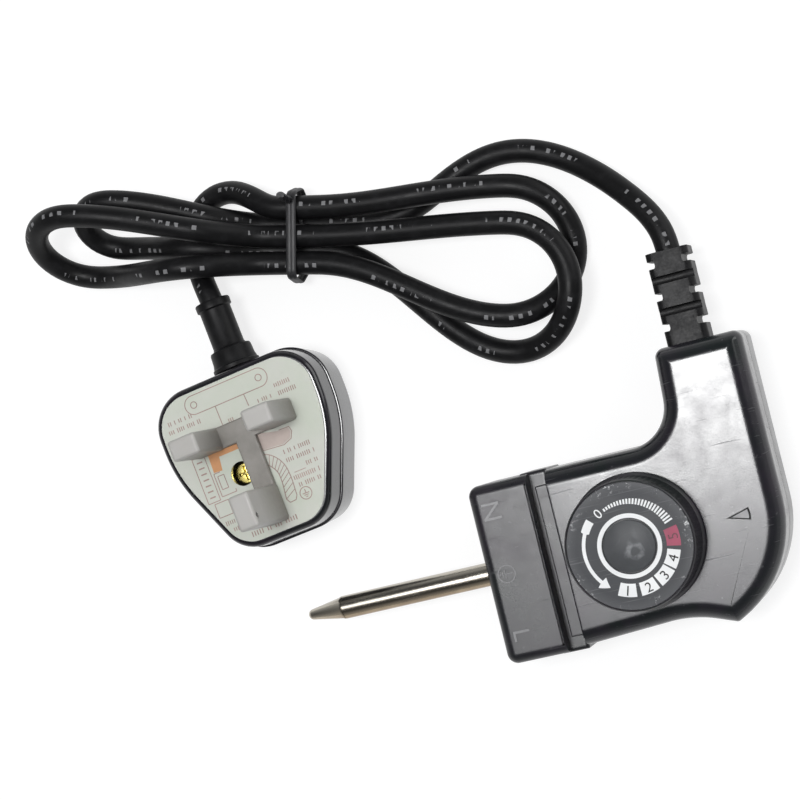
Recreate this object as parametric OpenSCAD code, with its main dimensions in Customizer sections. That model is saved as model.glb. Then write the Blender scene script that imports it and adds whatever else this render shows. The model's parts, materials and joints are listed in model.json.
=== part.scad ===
// Plug-in heat control for an electric griddle: a housing with a sensing probe and two contact
// sockets at the front, a setting dial on top, and a mains lead tied in a hank to its fused plug.

/* [Thermostat body] */
// Height of the housing, lying flat
body_h = 26; // [25:0.5:30]
// Length from the connector's front face to the back of the handle
body_len = 80; // [79:0.5:84]
// Width of the connector and of the head behind it
head_w = 48; // [47:0.5:52]
// Width of the handle, across the cord
handle_w = 23; // [22.5:0.5:25]
// Reach of the handle from the probe's axis to its cord end
handle_reach = 47.5; // [46:0.5:52]
// Wall of both housing shells
wall = 2.2; // [1.8:0.1:2.6]
// Radius of the round edge along the top
edge_r = 4.6; // [3:0.2:5]
// Radius of the round edge along the underside
base_edge_r = 3; // [2:0.2:3.4]

/* [Connector] */
// Length of the connector's front part
block_len = 16.5; // [15:0.5:18]
// Width of the channel between connector and body
channel_w = 5; // [4:0.5:6]
// Distance between the two contact sockets
socket_pitch = 32; // [31:0.5:33]
// Bore of a contact socket
socket_bore_r = 2.45; // [2:0.05:2.6]

/* [Probe] */
// Radius of the probe tube
probe_r = 3.2; // [2.8:0.1:3.5]
// Reach of the probe from the connector's front face to its point
probe_reach = 55; // [40:1:90]
// Length of the conical point
probe_point = 10.5; // [8:0.5:14]

/* [Dial] */
// Distance of the dial's axis behind the connector's front face
dial_x = 41.5; // [41:0.25:42.5]
// Radius of the knob at its foot
knob_r = 18; // [17.6:0.2:19]
// Height of the knob above the housing
knob_h = 12; // [10:0.5:15]
// Radius of the spindle
spindle_r = 3; // [2.6:0.1:3.4]
// Rise of the adjusting screw in one turn
screw_pitch = 0.8; // [0.5:0.1:0.9]

/* [Mains lead] */
// Outside diameter of the rubber cord
cord_d = 6.6; // [6:0.1:6.6]
// Length of the strain relief outside the housing
relief_len = 24.7; // [22:0.1:26]
// Width of the strain relief
relief_w = 11.3; // [10.8:0.1:12.4]

/* [Plug] */
// Depth of the plug's body, from its back to its pin face
plug_depth = 25; // [24.5:0.5:28]
// Spacing of the pins, both ways
pin_pitch = 22.2; // [22:0.1:22.4]
// Length of the two short pins
pin_len = 17.7; // [17:0.1:18]
// Length of the earth pin
earth_pin_len = 22.7; // [22:0.1:23]
// Wall of the plug's two shells
plug_wall = 2.4; // [2:0.1:2.6]

/* [Hidden] */
$fn = 48;

// Clearances and the overrun that all pieces share
fit_gap = 0.05;
seat_gap = 0.2;
slide_gap = 0.3;
over = 1;
least_r = 0.3;
round_steps = 4;

// Where the halves part, and the height of the axes of probe, sockets and cord
split_z = body_h / 2;
axis_z = split_z;
head_half = head_w / 2;
body_start = block_len + channel_w;
roof_z = body_h - wall;

// Outline of the body behind the connector: the waist, heel and nose of the grip side,
// and the handle with its inner corner
waist_x = 50.5;
waist_rise = 2.4;
waist_r = 30;
heel_x = 61.5;
heel_drop = 1.7;
heel_r = 1.2;
nose_rise = 8;
nose_r = 31;
handle_corner_r = 2.5;
handle_lean = 1.4;
elbow_r = 11;
lead_in = 12;
few_points = 2;
some_points = 3;
many_points = 9;
body_corners = [
    [[body_start - lead_in, -head_half], least_r, few_points],
    [[waist_x, -head_half + waist_rise], waist_r, some_points],
    [[heel_x, -head_half - heel_drop], heel_r, few_points],
    [[body_len, -head_half + nose_rise], nose_r, many_points],
    [[body_len, handle_reach], handle_corner_r, some_points],
    [[body_len - handle_w, handle_reach], handle_corner_r, some_points],
    [[body_len - handle_w - handle_lean, head_half], elbow_r, many_points],
    [[body_start - lead_in, head_half], least_r, few_points]
];
// Place inside the body that every point of its outline can be seen from
body_heart = [body_len - handle_w / 2, head_half / 2];

// Screws that hold the two halves together, from below
screw_shank_r = 1.2;
screw_hole_r = 1.7;
screw_head_r = 2.9;
screw_head_h = 2.3;
screw_recess_r = 3.15;
screw_recess_h = 4;
screw_len = 16;
screw_slot_w = 0.7;
screw_slot_h = 0.8;
upper_boss_r = 3.4;
lower_boss_r = 4.4;
front_boss_x = 38.5;
front_boss_in = 7.8;
nose_boss_in = 10.2;
nose_boss_y = 9;
handle_boss_in = 7;
handle_boss_back = 13.5;
screw_places = [
    [front_boss_x, -head_half + front_boss_in],
    [front_boss_x, head_half - front_boss_in],
    [body_len - nose_boss_in, -nose_boss_y],
    [body_len - handle_boss_in, handle_reach - handle_boss_back]
];

// Connector block: its rounded front part, the sunk shoulder that closes the channel,
// and the tongue that the two shells hold by a key
block_edge_r = 2.8;
block_corner_r = 2.9;
shoulder_drop = 5;
shoulder_foot = 3;
shoulder_proud = 0.4;
tongue_len = 5.5;
tongue_end = body_start + tongue_len;
key_w = 1.4;
key_in = 1.9;
key_h = 2;
key_half = 18;
socket_wall = 0.75;
socket_r = socket_bore_r + socket_wall;
socket_recess = 1.5;
socket_back = 1.5;
socket_end = 24;
socket_tail_w = 3;
socket_tail_t = 0.8;
socket_tail_end = 29;

// Probe and what holds it
probe_wall = 0.5;
probe_inner_r = probe_r - probe_wall;
probe_neck_in = 0.25;
probe_neck_r = probe_r - probe_neck_in;
tip_end_r = 1.5;
tip_plug = 3;
tip_hole = 2;
rod_r = 1.5;
frame_t = 1.2;
lug_half = 8;
arm_half = 6;
plate_half = 7;
frame_low = 5;
frame_top = 20.2;
arm_end = 48;
post_r = 2.5;
post_places = [34, 47];
tag_t = 0.6;
tag_r = 6;
tag_tail_end = 13;
tag_tail_w = 3;
collar_len = 1.5;
collar_back = 0.7;
collar_r = 4.6;
lug_x = tongue_end;
tag_x = lug_x + frame_t;
collar_x = tag_x + tag_t;
probe_end = collar_x + collar_len;

// Contact blades between insulators, all clamped by one screw
stack_x = 55;
stack_r = 4;
stack_low_h = 3;
stack_mid_h = 3;
stack_top_h = 2;
stack_screw_r = 1.5;
stack_head_r = 2.8;
stack_head_h = 1.6;
blade_t = 0.4;
blade_half = 3;
blade_tail_half = 1.5;
blade_back = 59;
blade_tail = 62;
frame_end = 60;
sense_z = frame_low + frame_t + stack_low_h;
carrier_z = sense_z + blade_t + stack_mid_h;
sense_front = collar_x + collar_len + collar_back + seat_gap;
sense_tab_top = 15;
carrier_front = 45;
moving_z = carrier_z + blade_t + fit_gap + fit_gap;
moving_front = 33.6;
moving_back = 50.6;
contact_x = 35.4;
contact_r = 1.5;
contact_h = 1.4;

// Adjusting screw under the dial, its bush, and the ceramic pin that stands over the blade
dial_y = 0.5;
pin_r = 1.2;
pin_pocket_r = pin_r + fit_gap;
pin_low = moving_z + blade_t + slide_gap;
spindle_low = 15.6;
pin_pocket_h = 3.2;
pin_top = spindle_low + pin_pocket_h - screw_pitch;
bush_r = 4;
bush_flange_r = 5.4;
bush_flange_h = 1.8;
bush_rim_r = 4.7;
bush_rim_h = 1;
spindle_hole_r = spindle_r + seat_gap;

// Dial: a hollow knob with a flat label plate and a domed cap over its screw
knob_gap = 0.4;
knob_low = body_h + knob_gap;
knob_top = body_h + knob_h;
knob_foot_h = 1.6;
knob_foot_step = 0.7;
knob_draft = 0.4;
knob_rim_r = 0.5;
knob_wall = 1.8;
knob_roof = 3;
knob_sides = 96;
hub_r = 5.2;
hub_lift = 0.8;
plate_in = 1.7;
plate_r = knob_r - plate_in;
plate_t = 0.4;
plate_sink = 0.5;
plate_hole_r = 6.9;
cap_r = 6.7;
cap_flange_t = 0.9;
cap_dome = 0.6;
cap_stem_r = 3.6;
well_r = 3.8;
well_depth = 3.2;
knob_screw_head_r = 2.6;
knob_screw_head_h = 1.5;
knob_screw_r = 1;
knob_screw_len = 5;
spindle_drop = 1.4;
plate_z = knob_top - plate_sink;
well_z = plate_z - well_depth;
spindle_top = well_z - spindle_drop;

// Pointer sunk in the top face, its point towards the dial
pointer_x = 65.2;
pointer_y = 1.1;
pointer_len = 6.4;
pointer_half = 1.8;
pointer_cut = 0.35;

// Strain relief, moulded on the cord where it leaves the handle
relief_in = 14.3;
relief_x = body_len - relief_in;
relief_corner_r = 1.8;
relief_neck_w = 9.2;
relief_flange_len = 3.2;
relief_flange_w = 12;
relief_web = 0.45;
relief_slot_w = 2;
cord_bore_r = cord_d / 2 + fit_gap + fit_gap;
relief_end = handle_reach + relief_len;
side_slot_shares = [0.2, 0.53, 0.875];
top_slot_shares = [0.36, 0.7];

// Without its lead and plug the object stands with its middle over the origin
mid_x = (body_len - probe_reach) / 2;
mid_y = (relief_end - head_half - heel_drop) / 2;

// Cord: its points from the strain relief to the tie, chosen by hand
cord_r = cord_d / 2;
cord_sides = 10;
cord_steps = 2;
cord_start_y = 38;
lead_route = [
    [65.2, 77.5, 12.7], [62, 84.5, 11], [54.5, 94, 7.2], [47, 101.2, 4.4], [40.2, 106, 3.4],
    [33.5, 109, 3.4], [26.5, 110.3, 3.4], [19.5, 109.7, 3.4], [12.5, 107.6, 3.4], [6, 104.8, 3.4],
    [-0.5, 102.2, 3.4], [-7, 101.1, 3.4], [-13.5, 101.5, 3.5], [-20, 102.8, 4]
];

// Hank: two loops, each a left and a right fold, tied where they draw in to the waist. A fold is
// a straight run out, a round end about the middle line, and a run back
hank_x = -34;
hank_y = 102.5;
hank_turn_deg = -14;
hank_rise = 7.2;
hank_lift = 1;
fold_count = 4;
fold_reach = [54, 60.5, 62, 60];
fold_middle = [4.2, -14.6, -2, -4.6];
fold_half = [6.4, 17.5, 8.4, 17.6];
waist_place = [3.6, -3.6, 0.3, -7.2, 8.2];
crest_x = 30.5;
waist_layer_shares = [0, 0, 0.9, 0.9, 0.9];
fold_layer_shares = [
    [1.2, 1.8, 0.9, 0, 1.25],
    [0, 0, 1.3, 1.15, 1.05],
    [2.45, 2.9, 1.45, 0, 2.35],
    [1.05, 0.9, 0, 0.7, 1.1]
];
fold_rings = 24;
gap_rings = 48;
hank_sides = 8;
gap_skip_share = 2.5;

// Cord: its points from the tie to the plug's sleeve
tail_route = [
    [-44, 116.6, 8.9], [-49.8, 120, 6], [-56.3, 120.4, 4], [-61.7, 117.4, 3.5],
    [-64.4, 112.4, 3.5], [-65.3, 106.6, 4.2], [-64.7, 101, 6.9], [-62.9, 95.8, 10.4]
];

// Twist tie round the waist of the hank
tie_w = 1.8;
tie_t = 0.8;
tie_gap = 0.2;
tie_spread = 1.4;
tie_corner_r = 2.2;
tie_tail_len = 12;
tie_tail_turn_deg = 540;
tie_tail_slices = 12;

// Plug lying on its back: its axes run from the middle between live and neutral pin
plug_x = -56.4;
plug_y = 54.1;
plug_turn_deg = 98;
plug_split = 16;
plug_front = 17.4;
plug_half = 25.4;
plug_waist = 5.7;
plug_back = 32.3;
plug_back_half = 14;
plug_front_r = 12;
plug_side_r = 40;
plug_back_r = 11;
plug_draft = 0.8;
plug_step = 0.5;
plug_face_draft = 0.4;
plug_back_edge_r = 3;
plug_face_edge_r = 1.5;
card_t = 0.3;
card_in = 1.6;
face_z = plug_depth - card_t;
plug_roof = face_z - plug_wall;
plug_corners = [
    [[plug_front, -plug_half], plug_front_r, many_points],
    [[plug_front, plug_half], plug_front_r, many_points],
    [[-plug_waist, plug_half], plug_side_r, some_points],
    [[-plug_back, plug_back_half], plug_back_r, many_points],
    [[-plug_back, -plug_back_half], plug_back_r, many_points],
    [[-plug_waist, -plug_half], plug_side_r, some_points]
];

// Pins with their feet under the face
short_pin_w = 6.35;
earth_pin_w = 8;
pin_t = 4;
pin_point = 1;
pin_foot_h = 2.5;
pin_foot_w = 8;
pin_foot_l = 8;
pin_hole_gap = 0.1;
live_y = -pin_pitch / 2;
neutral_y = pin_pitch / 2;
earth_x = -pin_pitch;

// Fuse beside the live pin, in two clips
fuse_r = 3.15;
fuse_len = 25.4;
fuse_cap_len = 5.5;
fuse_cap_step = 0.15;
fuse_x = -14.8;
fuse_y = -14.6;
fuse_z = 11.2;
clip_t = 0.6;
clip_w = 5;
clip_top = 15;
clip_drop = 1;
front_clip_x = -12.3;
back_clip_x = 5;
clip_leg_w = 4;
clip_post_r = 2.2;

// Screw that closes the plug
plug_screw_x = -11.2;
plug_screw_y = 5;
plug_screw_r = 1.7;
plug_screw_head_r = 3.2;
plug_screw_head_h = 2.2;
plug_screw_seat = 20;
plug_screw_low = 6;
plug_boss_r = 5.2;
cross_w = 0.9;
cross_len = 4;

// Cord grip inside the plug and the sleeve at its entry
cord_exit_z = 11.5;
grip_x = 10;
grip_half = 11.2;
grip_w = 5.6;
grip_t = 3;
grip_post_y = 8.2;
grip_post_r = 2.6;
grip_saddle_half = 4.8;
grip_screw_r = 1.3;
grip_screw_head_r = 2.3;
grip_screw_head_h = 1.6;
grip_screw_top = 16;
sleeve_end = 37.5;
sleeve_r = 4.45;
sleeve_collar_r = 6.8;
sleeve_collar_end = 23.5;
sleeve_collar_step = 0.9;
sleeve_neck_r = 4;
sleeve_flange_r = 4.35;
sleeve_flange_l = 1.8;
sleeve_lip = 1.2;
inner_cord_x = 6;

// Cover that slides over the three pins
cover_gap = 0.3;
cover_wall = 0.9;
cover_roof = 1;
cover_web_w = 6;
cover_web_t = 1.6;
cover_hole_r = 0.8;
cover_z = plug_depth + cover_gap;

// Single wires inside the housing, their points chosen by hand
wire_r = 1;
wire_sides = 6;
live_wire_route = [
    [62.3, 0, 12.8], [64.6, 0.6, 12.8], [66.3, 4, 13], [66.6, 12, 13.4], [66, 26, 14.2],
    [65.7, 34, 14.8], [65.7, 37.7, 14.8]
];
load_wire_route = [
    [62.4, 0, 9.4], [64.2, -1.2, 9.4], [64.2, -5, 9.4], [61.5, -8.6, 9.4], [56, -10, 9.5],
    [42, -10, 10.5], [36, -10.3, 12], [33, -13, 12.9], [31.4, -15.6, 13], [29.3, -16, 13]
];
neutral_wire_route = [
    [29.3, 16, 13], [31.4, 15.6, 13], [33.3, 13, 13.4], [36, 10.3, 14], [48, 10, 14],
    [56.5, 12, 13.6], [61.5, 18, 13], [63.6, 26, 12.2], [64.2, 34, 12], [64.2, 37.7, 12]
];
earth_wire_route = [
    [29.3, 11.5, 12.8], [31.2, 11.2, 12.2], [34, 10, 9.4], [40, 10, 8.4], [50, 10.4, 8.4],
    [58, 12.5, 8.6], [63.5, 18, 9.2], [66.5, 26, 10.6], [67.2, 34, 12], [67.2, 37.7, 12]
];

// Directions and corners in the plane
function unit(v) = v / norm(v);
function left_of(v) = [-v.y, v.x];
function turned(v, a) = [v.x * cos(a) - v.y * sin(a), v.x * sin(a) + v.y * cos(a)];

// Points of one rounded corner, its outline moved in by inset
function corner(before, at, after, r, n, inset) =
    let (
        d1 = unit(at - before),
        d2 = unit(after - at),
        n1 = left_of(d1),
        n2 = left_of(d2),
        m = (n1 + n2) / (1 + n1 * n2),
        turn = atan2(cross(d1, d2), d1 * d2),
        bend = sign(turn),
        round_r = max(r - bend * inset, least_r),
        centre = at + inset * m + bend * round_r * m
    )
    [for (k = [0 : n]) centre - bend * round_r * turned(n1, turn * k / n)];

// Outline through a list of corners, each with its radius and count of steps
function outline(corners, inset) =
    let (count = len(corners))
    [for (i = [0 : count - 1])
        each corner(
            corners[(i + count - 1) % count][0], corners[i][0], corners[(i + 1) % count][0],
            corners[i][1], corners[i][2], inset
        )
    ];
function level_ring(corners, inset, z) = [for (p = outline(corners, inset)) [p.x, p.y, z]];

// Solid skin over rings of equally many points; its flat ends are fans from the ring's middle, or from heart
function middle(ring) = [for (p = ring) 1] * ring / len(ring);
module loft(rings, heart) {
    n = len(rings[0]);
    last = len(rings) - 1;
    low = (last + 1) * n;
    hubs = [for (r = [rings[0], rings[last]]) is_undef(heart) ? middle(r) : [heart.x, heart.y, r[0].z]];
    polyhedron(
        points = concat([for (r = rings) each r], hubs),
        faces = concat(
            [for (i = [0 : n - 1]) [i, (i + 1) % n, low]],
            [for (i = [0 : n - 1]) [last * n + (i + 1) % n, last * n + i, low + 1]],
            [for (k = [0 : last - 1], i = [0 : n - 1]) [k * n + i, (k + 1) * n + i, (k + 1) * n + (i + 1) % n]],
            [for (k = [0 : last - 1], i = [0 : n - 1]) [k * n + i, (k + 1) * n + (i + 1) % n, k * n + (i + 1) % n]]
        )
    );
}

// Prism between two heights
module slab(z0, z1) {
    translate([0, 0, z0])
        linear_extrude(z1 - z0)
            children();
}

// Box from one corner to the opposite one
module block(a, b) {
    translate(a)
        cube(b - a);
}

// Turned piece that lies along X, from x on
module along_x(x, y) {
    translate([x, y, axis_z])
        rotate([0, 90, 0])
            children();
}

module rod_x(x0, x1, y, r) {
    along_x(x0, y)
        cylinder(r = r, h = x1 - x0);
}

module rod_z(place, z0, z1, r) {
    translate([place.x, place.y, z0])
        cylinder(r = r, h = z1 - z0);
}

// Smooth path through the points of a route
function between(a, b, c, d, t) =
    (2 * b + (c - a) * t + (2 * a - 5 * b + 4 * c - d) * t * t + (3 * b - a - 3 * c + d) * t * t * t) / 2;
function path_through(p, steps) =
    let (last = len(p) - 1)
    concat(
        [for (i = [0 : last - 1], k = [0 : steps - 1])
            between(
                i > 0 ? p[i - 1] : 2 * p[0] - p[1], p[i], p[i + 1],
                i < last - 1 ? p[i + 2] : 2 * p[last] - p[last - 1], k / steps
            )
        ],
        [p[last]]
    );

// Tube along a path, its rings square to the way the path runs
function heading(p, k) =
    let (last = len(p) - 1)
    k == 0 ? unit(p[1] - p[0]) : k == last ? unit(p[last] - p[last - 1]) : unit(p[k + 1] - p[k - 1]);
function tube_ring(p, k, r, sides) =
    let (
        ahead = heading(p, k),
        across = unit(cross(ahead, [0, 0, 1])),
        upward = cross(ahead, across)
    )
    [for (i = [0 : sides - 1]) p[k] + r * (cos(360 * i / sides) * across + sin(360 * i / sides) * upward)];
module tube(p, r, sides) {
    loft([for (k = [0 : len(p) - 1]) tube_ring(p, k, r, sides)]);
}

// Hank of the cord, in its own axes: x along the hank, y up the picture, both from the tie
function eased(a, b, s) = a + (b - a) * (1 - cos(180 * s)) / 2;
function fold_side(j) = j % 2 == 0 ? -1 : 1;
function waist_height(i) = cord_r + hank_lift + hank_rise * waist_layer_shares[i];
function fold_height(j, k) = cord_r + hank_rise * fold_layer_shares[j][k];
function past_straight(x, end) = max(0, (x - cord_d) / (end - cord_d));

// Height of a run at x: from the waist to the crest, and on to the fold
function run_height(x, reach, waist_z, crest_z, end_z) =
    x < crest_x ? eased(waist_z, crest_z, past_straight(x, crest_x))
    : eased(crest_z, end_z, (x - crest_x) / (reach - crest_x));

// A left fold stands up, so its end is a circle in a tilted plane, a right one lies nearly flat
function fold_radius(j) =
    fold_side(j) > 0 ? fold_half[j] : norm([fold_half[j], (fold_height(j, 1) - fold_height(j, 3)) / 2]);
function fold_end_height(j, a) =
    fold_side(j) > 0
    ? (a < 90 ? eased(fold_height(j, 1), fold_height(j, 2), a / 90)
        : eased(fold_height(j, 2), fold_height(j, 3), a / 90 - 1))
    : (fold_height(j, 1) * (1 + cos(a)) + fold_height(j, 3) * (1 - cos(a))) / 2;
function fold_out(j, x) = [
    fold_side(j) * x,
    eased(waist_place[j], fold_middle[j] - fold_side(j) * fold_half[j], past_straight(x, fold_reach[j])),
    run_height(x, fold_reach[j], waist_height(j), fold_height(j, 0), fold_height(j, 1))
];
function fold_end(j, a) = [
    fold_side(j) * (fold_reach[j] + fold_radius(j) * sin(a)),
    fold_middle[j] - fold_side(j) * fold_half[j] * cos(a),
    fold_end_height(j, a)
];
function fold_in(j, x) = [
    fold_side(j) * x,
    eased(waist_place[j + 1], fold_middle[j] + fold_side(j) * fold_half[j], past_straight(x, fold_reach[j])),
    run_height(x, fold_reach[j], waist_height(j + 1), fold_height(j, 4), fold_height(j, 3))
];
function fold_point(j, s) =
    s < 1 ? fold_out(j, s * fold_reach[j])
    : s <= 2 ? fold_end(j, 180 * (s - 1))
    : fold_in(j, (3 - s) * fold_reach[j]);
function hank_place(p) =
    let (q = turned([p.x, p.y], hank_turn_deg))
    [hank_x + q.x, hank_y + q.y, p.z];
function hank_path(rings) = concat(
    [for (j = [0 : fold_count - 1], k = [0 : rings - 1]) hank_place(fold_point(j, 3 * k / rings))],
    [hank_place(fold_point(fold_count - 1, 3))]
);

// Whole lead: to the tie, round the hank, and to the plug
function plug_place(x, z) =
    let (q = turned([x, 0], plug_turn_deg))
    [plug_x + q.x, plug_y + q.y, z];
lead_points = concat(
    [[relief_x, relief_end, axis_z]],
    lead_route,
    [
        hank_place([cord_d, waist_place[0], waist_height(0)]),
        hank_place([0, waist_place[0], waist_height(0)])
    ]
);
tail_points = concat(
    [
        hank_place([0, waist_place[fold_count], waist_height(fold_count)]),
        hank_place([-cord_d, waist_place[fold_count], waist_height(fold_count)])
    ],
    tail_route,
    [plug_place(sleeve_end, cord_exit_z)]
);
function lead_path(steps) = concat([[relief_x, cord_start_y, axis_z]], path_through(lead_points, steps));
function tail_path(steps) = concat(path_through(tail_points, steps), [plug_place(inner_cord_x, cord_exit_z)]);

// Least gap of the lead to itself, on points farther apart along it than a fold of the cord
function run_lengths(p) =
    [for (i = 0, s = 0; i < len(p); s = s + (i < len(p) - 1 ? norm(p[i + 1] - p[i]) : 0), i = i + 1) s];
function least_gap(p, s) = min(
    [for (i = [0 : len(p) - 2], j = [i + 1 : len(p) - 1])
        if (s[j] - s[i] > gap_skip_share * cord_d) norm(p[j] - p[i])
    ]
) - cord_d;
whole_lead = concat(
    lead_path(cord_steps + cord_steps),
    hank_path(gap_rings),
    tail_path(cord_steps + cord_steps)
);
lead_lengths = run_lengths(whole_lead);
echo(str("least gap of the lead to itself: ", least_gap(whole_lead, lead_lengths), " mm"));
echo(str("length of the lead: ", lead_lengths[len(lead_lengths) - 1], " mm"));

// Material colours
black_plastic = [0.06, 0.06, 0.065];
grey_plastic = [0.2, 0.2, 0.21];
steel = [0.74, 0.73, 0.71];
brass = [0.78, 0.62, 0.28];
ceramic = [0.86, 0.84, 0.78];
rubber = [0.05, 0.05, 0.055];
frosted = [0.62, 0.61, 0.59];
card_white = [0.87, 0.88, 0.85];
copper_brown = [0.45, 0.25, 0.14];
wire_blue = [0.12, 0.3, 0.62];
wire_green = [0.36, 0.62, 0.2];

// Front of the body, cut square behind the channel
module cut_front() {
    block([body_start - lead_in - over, -head_w, -over], [body_start, head_w, body_h + over]);
}

// Way for the strain relief's neck through the wall at the handle's end
module cord_notch() {
    half = relief_neck_w / 2 + seat_gap;
    block(
        [relief_x - half, handle_reach - wall - over, axis_z - half],
        [relief_x + half, handle_reach + over, axis_z + half]
    );
}

module inner_outline(gap) {
    polygon(outline(body_corners, wall + gap));
}

module upper_housing() {
    color(black_plastic)
        difference() {
            union() {
                difference() {
                    loft(concat(
                        [level_ring(body_corners, 0, split_z)],
                        [for (k = [0 : round_steps])
                            level_ring(
                                body_corners,
                                edge_r * (1 - cos(90 * k / round_steps)),
                                body_h - edge_r * (1 - sin(90 * k / round_steps))
                            )
                        ],
                        [level_ring(body_corners, edge_r, body_h + over)]
                    ), body_heart);
                    block([0, -body_len, body_h], [2 * body_len, body_len, body_h + 2 * over]);
                    slab(split_z - over, roof_z)
                        inner_outline(0);
                    cut_front();
                }
                for (p = screw_places)
                    rod_z(p, split_z, roof_z + wall / 2, upper_boss_r);
                block(
                    [body_start + key_in, -key_half, roof_z - key_h],
                    [body_start + key_in + key_w, key_half, roof_z + wall / 2]
                );
            }
            for (p = screw_places)
                rod_z(p, split_z - over, screw_recess_h + screw_len + over, screw_shank_r + fit_gap);
            rod_z([dial_x, dial_y], roof_z - over, body_h + over, spindle_hole_r);
            slab(body_h - pointer_cut, body_h + over)
                pointer_shape();
            cord_notch();
        }
}

module pointer_shape() {
    translate([pointer_x, pointer_y])
        intersection() {
            circle(r = pointer_len);
            polygon([[0, 0], [pointer_len + over, -pointer_half], [pointer_len + over, pointer_half]]);
        }
}

module lower_housing() {
    color(black_plastic)
        difference() {
            union() {
                difference() {
                    loft(concat(
                        [for (k = [0 : round_steps])
                            level_ring(
                                body_corners,
                                base_edge_r * (1 - sin(90 * k / round_steps)),
                                base_edge_r * (1 - cos(90 * k / round_steps))
                            )
                        ],
                        [level_ring(body_corners, 0, split_z)]
                    ), body_heart);
                    slab(wall, split_z + over)
                        inner_outline(0);
                    cut_front();
                }
                for (p = screw_places)
                    rod_z(p, wall / 2, split_z, lower_boss_r);
                for (x = post_places)
                    rod_z([x, 0], wall / 2, frame_low, post_r);
                block(
                    [body_start + key_in, -key_half, wall / 2],
                    [body_start + key_in + key_w, key_half, wall + key_h]
                );
            }
            for (p = screw_places) {
                rod_z(p, -over, split_z + over, screw_hole_r);
                rod_z(p, -over, screw_recess_h, screw_recess_r);
            }
            cord_notch();
        }
}

module connector_block() {
    end = block_len + lead_in;
    corners = [
        [[0, -head_half], block_corner_r, some_points],
        [[end, -head_half], least_r, few_points],
        [[end, head_half], least_r, few_points],
        [[0, head_half], block_corner_r, some_points]
    ];
    color(black_plastic)
        difference() {
            union() {
                difference() {
                    loft(concat(
                        [for (k = [0 : round_steps])
                            level_ring(
                                corners,
                                block_edge_r * (1 - sin(90 * k / round_steps)),
                                block_edge_r * (1 - cos(90 * k / round_steps))
                            )
                        ],
                        [for (k = [0 : round_steps])
                            level_ring(
                                corners,
                                block_edge_r * (1 - cos(90 * k / round_steps)),
                                body_h - block_edge_r * (1 - sin(90 * k / round_steps))
                            )
                        ]
                    ));
                    block([block_len, -head_w, -over], [end + over, head_w, body_h + over]);
                }
                block(
                    [block_len - over, -head_half - shoulder_proud, shoulder_foot],
                    [body_start, head_half + shoulder_proud, body_h - shoulder_drop]
                );
                slab(wall + seat_gap, roof_z - seat_gap)
                    intersection() {
                        inner_outline(seat_gap);
                        translate([block_len, -head_half])
                            square([tongue_end - block_len, head_w]);
                    }
            }
            for (y = [-socket_pitch / 2, socket_pitch / 2])
                rod_x(-over, tongue_end + over, y, socket_r + fit_gap);
            rod_x(-over, tongue_end + over, 0, probe_neck_r + fit_gap);
            block(
                [body_start + key_in - seat_gap, -key_half - seat_gap, 0],
                [body_start + key_in + key_w + seat_gap, key_half + seat_gap, wall + key_h + seat_gap]
            );
            block(
                [body_start + key_in - seat_gap, -key_half - seat_gap, roof_z - key_h - seat_gap],
                [body_start + key_in + key_w + seat_gap, key_half + seat_gap, body_h]
            );
        }
}

module contact_socket(y) {
    color(brass)
        difference() {
            union() {
                rod_x(socket_recess, socket_end, y, socket_r);
                block(
                    [socket_end - socket_back / 2, y - socket_tail_w / 2, axis_z - socket_tail_t / 2],
                    [socket_tail_end, y + socket_tail_w / 2, axis_z + socket_tail_t / 2]
                );
            }
            rod_x(0, socket_end - socket_back, y, socket_bore_r);
        }
}

module live_socket() {
    contact_socket(-socket_pitch / 2);
}

module neutral_socket() {
    contact_socket(socket_pitch / 2);
}

// The tube is necked down where it enters the connector
module probe_tube() {
    start = probe_point - probe_reach;
    color(steel)
        difference() {
            union() {
                rod_x(start, -slide_gap, 0, probe_r);
                rod_x(start, probe_end, 0, probe_neck_r);
            }
            rod_x(start - over, -slide_gap - probe_wall, 0, probe_inner_r);
            rod_x(start - over, probe_end + over, 0, probe_neck_r - probe_wall);
        }
}

module probe_tip() {
    nose = [for (a = [0 : 16 : 80]) [tip_end_r * sin(a), tip_end_r * (1 - cos(a))]];
    plug_r = probe_inner_r - fit_gap;
    hole_r = rod_r + fit_gap;
    plug_end = probe_point + tip_plug;
    color(steel)
        along_x(-probe_reach, 0)
            rotate_extrude()
                polygon(concat(nose, [
                    [probe_r, probe_point],
                    [plug_r, probe_point],
                    [plug_r, plug_end],
                    [hole_r, plug_end],
                    [hole_r, plug_end - tip_hole],
                    [0, plug_end - tip_hole]
                ]));
}

module transfer_rod() {
    color(steel)
        rod_x(probe_point + tip_plug - tip_hole - probe_reach, sense_front, 0, rod_r);
}

module probe_collar() {
    full = collar_len + collar_back;
    color(steel)
        difference() {
            rod_x(collar_x, collar_x + full, 0, collar_r);
            rod_x(collar_x - over, collar_x + collar_len, 0, probe_neck_r + fit_gap);
            rod_x(collar_x, collar_x + full + over, 0, rod_r + fit_gap);
        }
}

module earth_tag() {
    color(steel)
        difference() {
            union() {
                rod_x(tag_x, tag_x + tag_t, 0, tag_r);
                block(
                    [tag_x, probe_r + wire_r, axis_z - tag_tail_w / 2],
                    [tag_x + tag_t, tag_tail_end, axis_z + tag_tail_w / 2]
                );
            }
            rod_x(tag_x - over, tag_x + tag_t + over, 0, probe_neck_r + fit_gap);
        }
}

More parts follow.
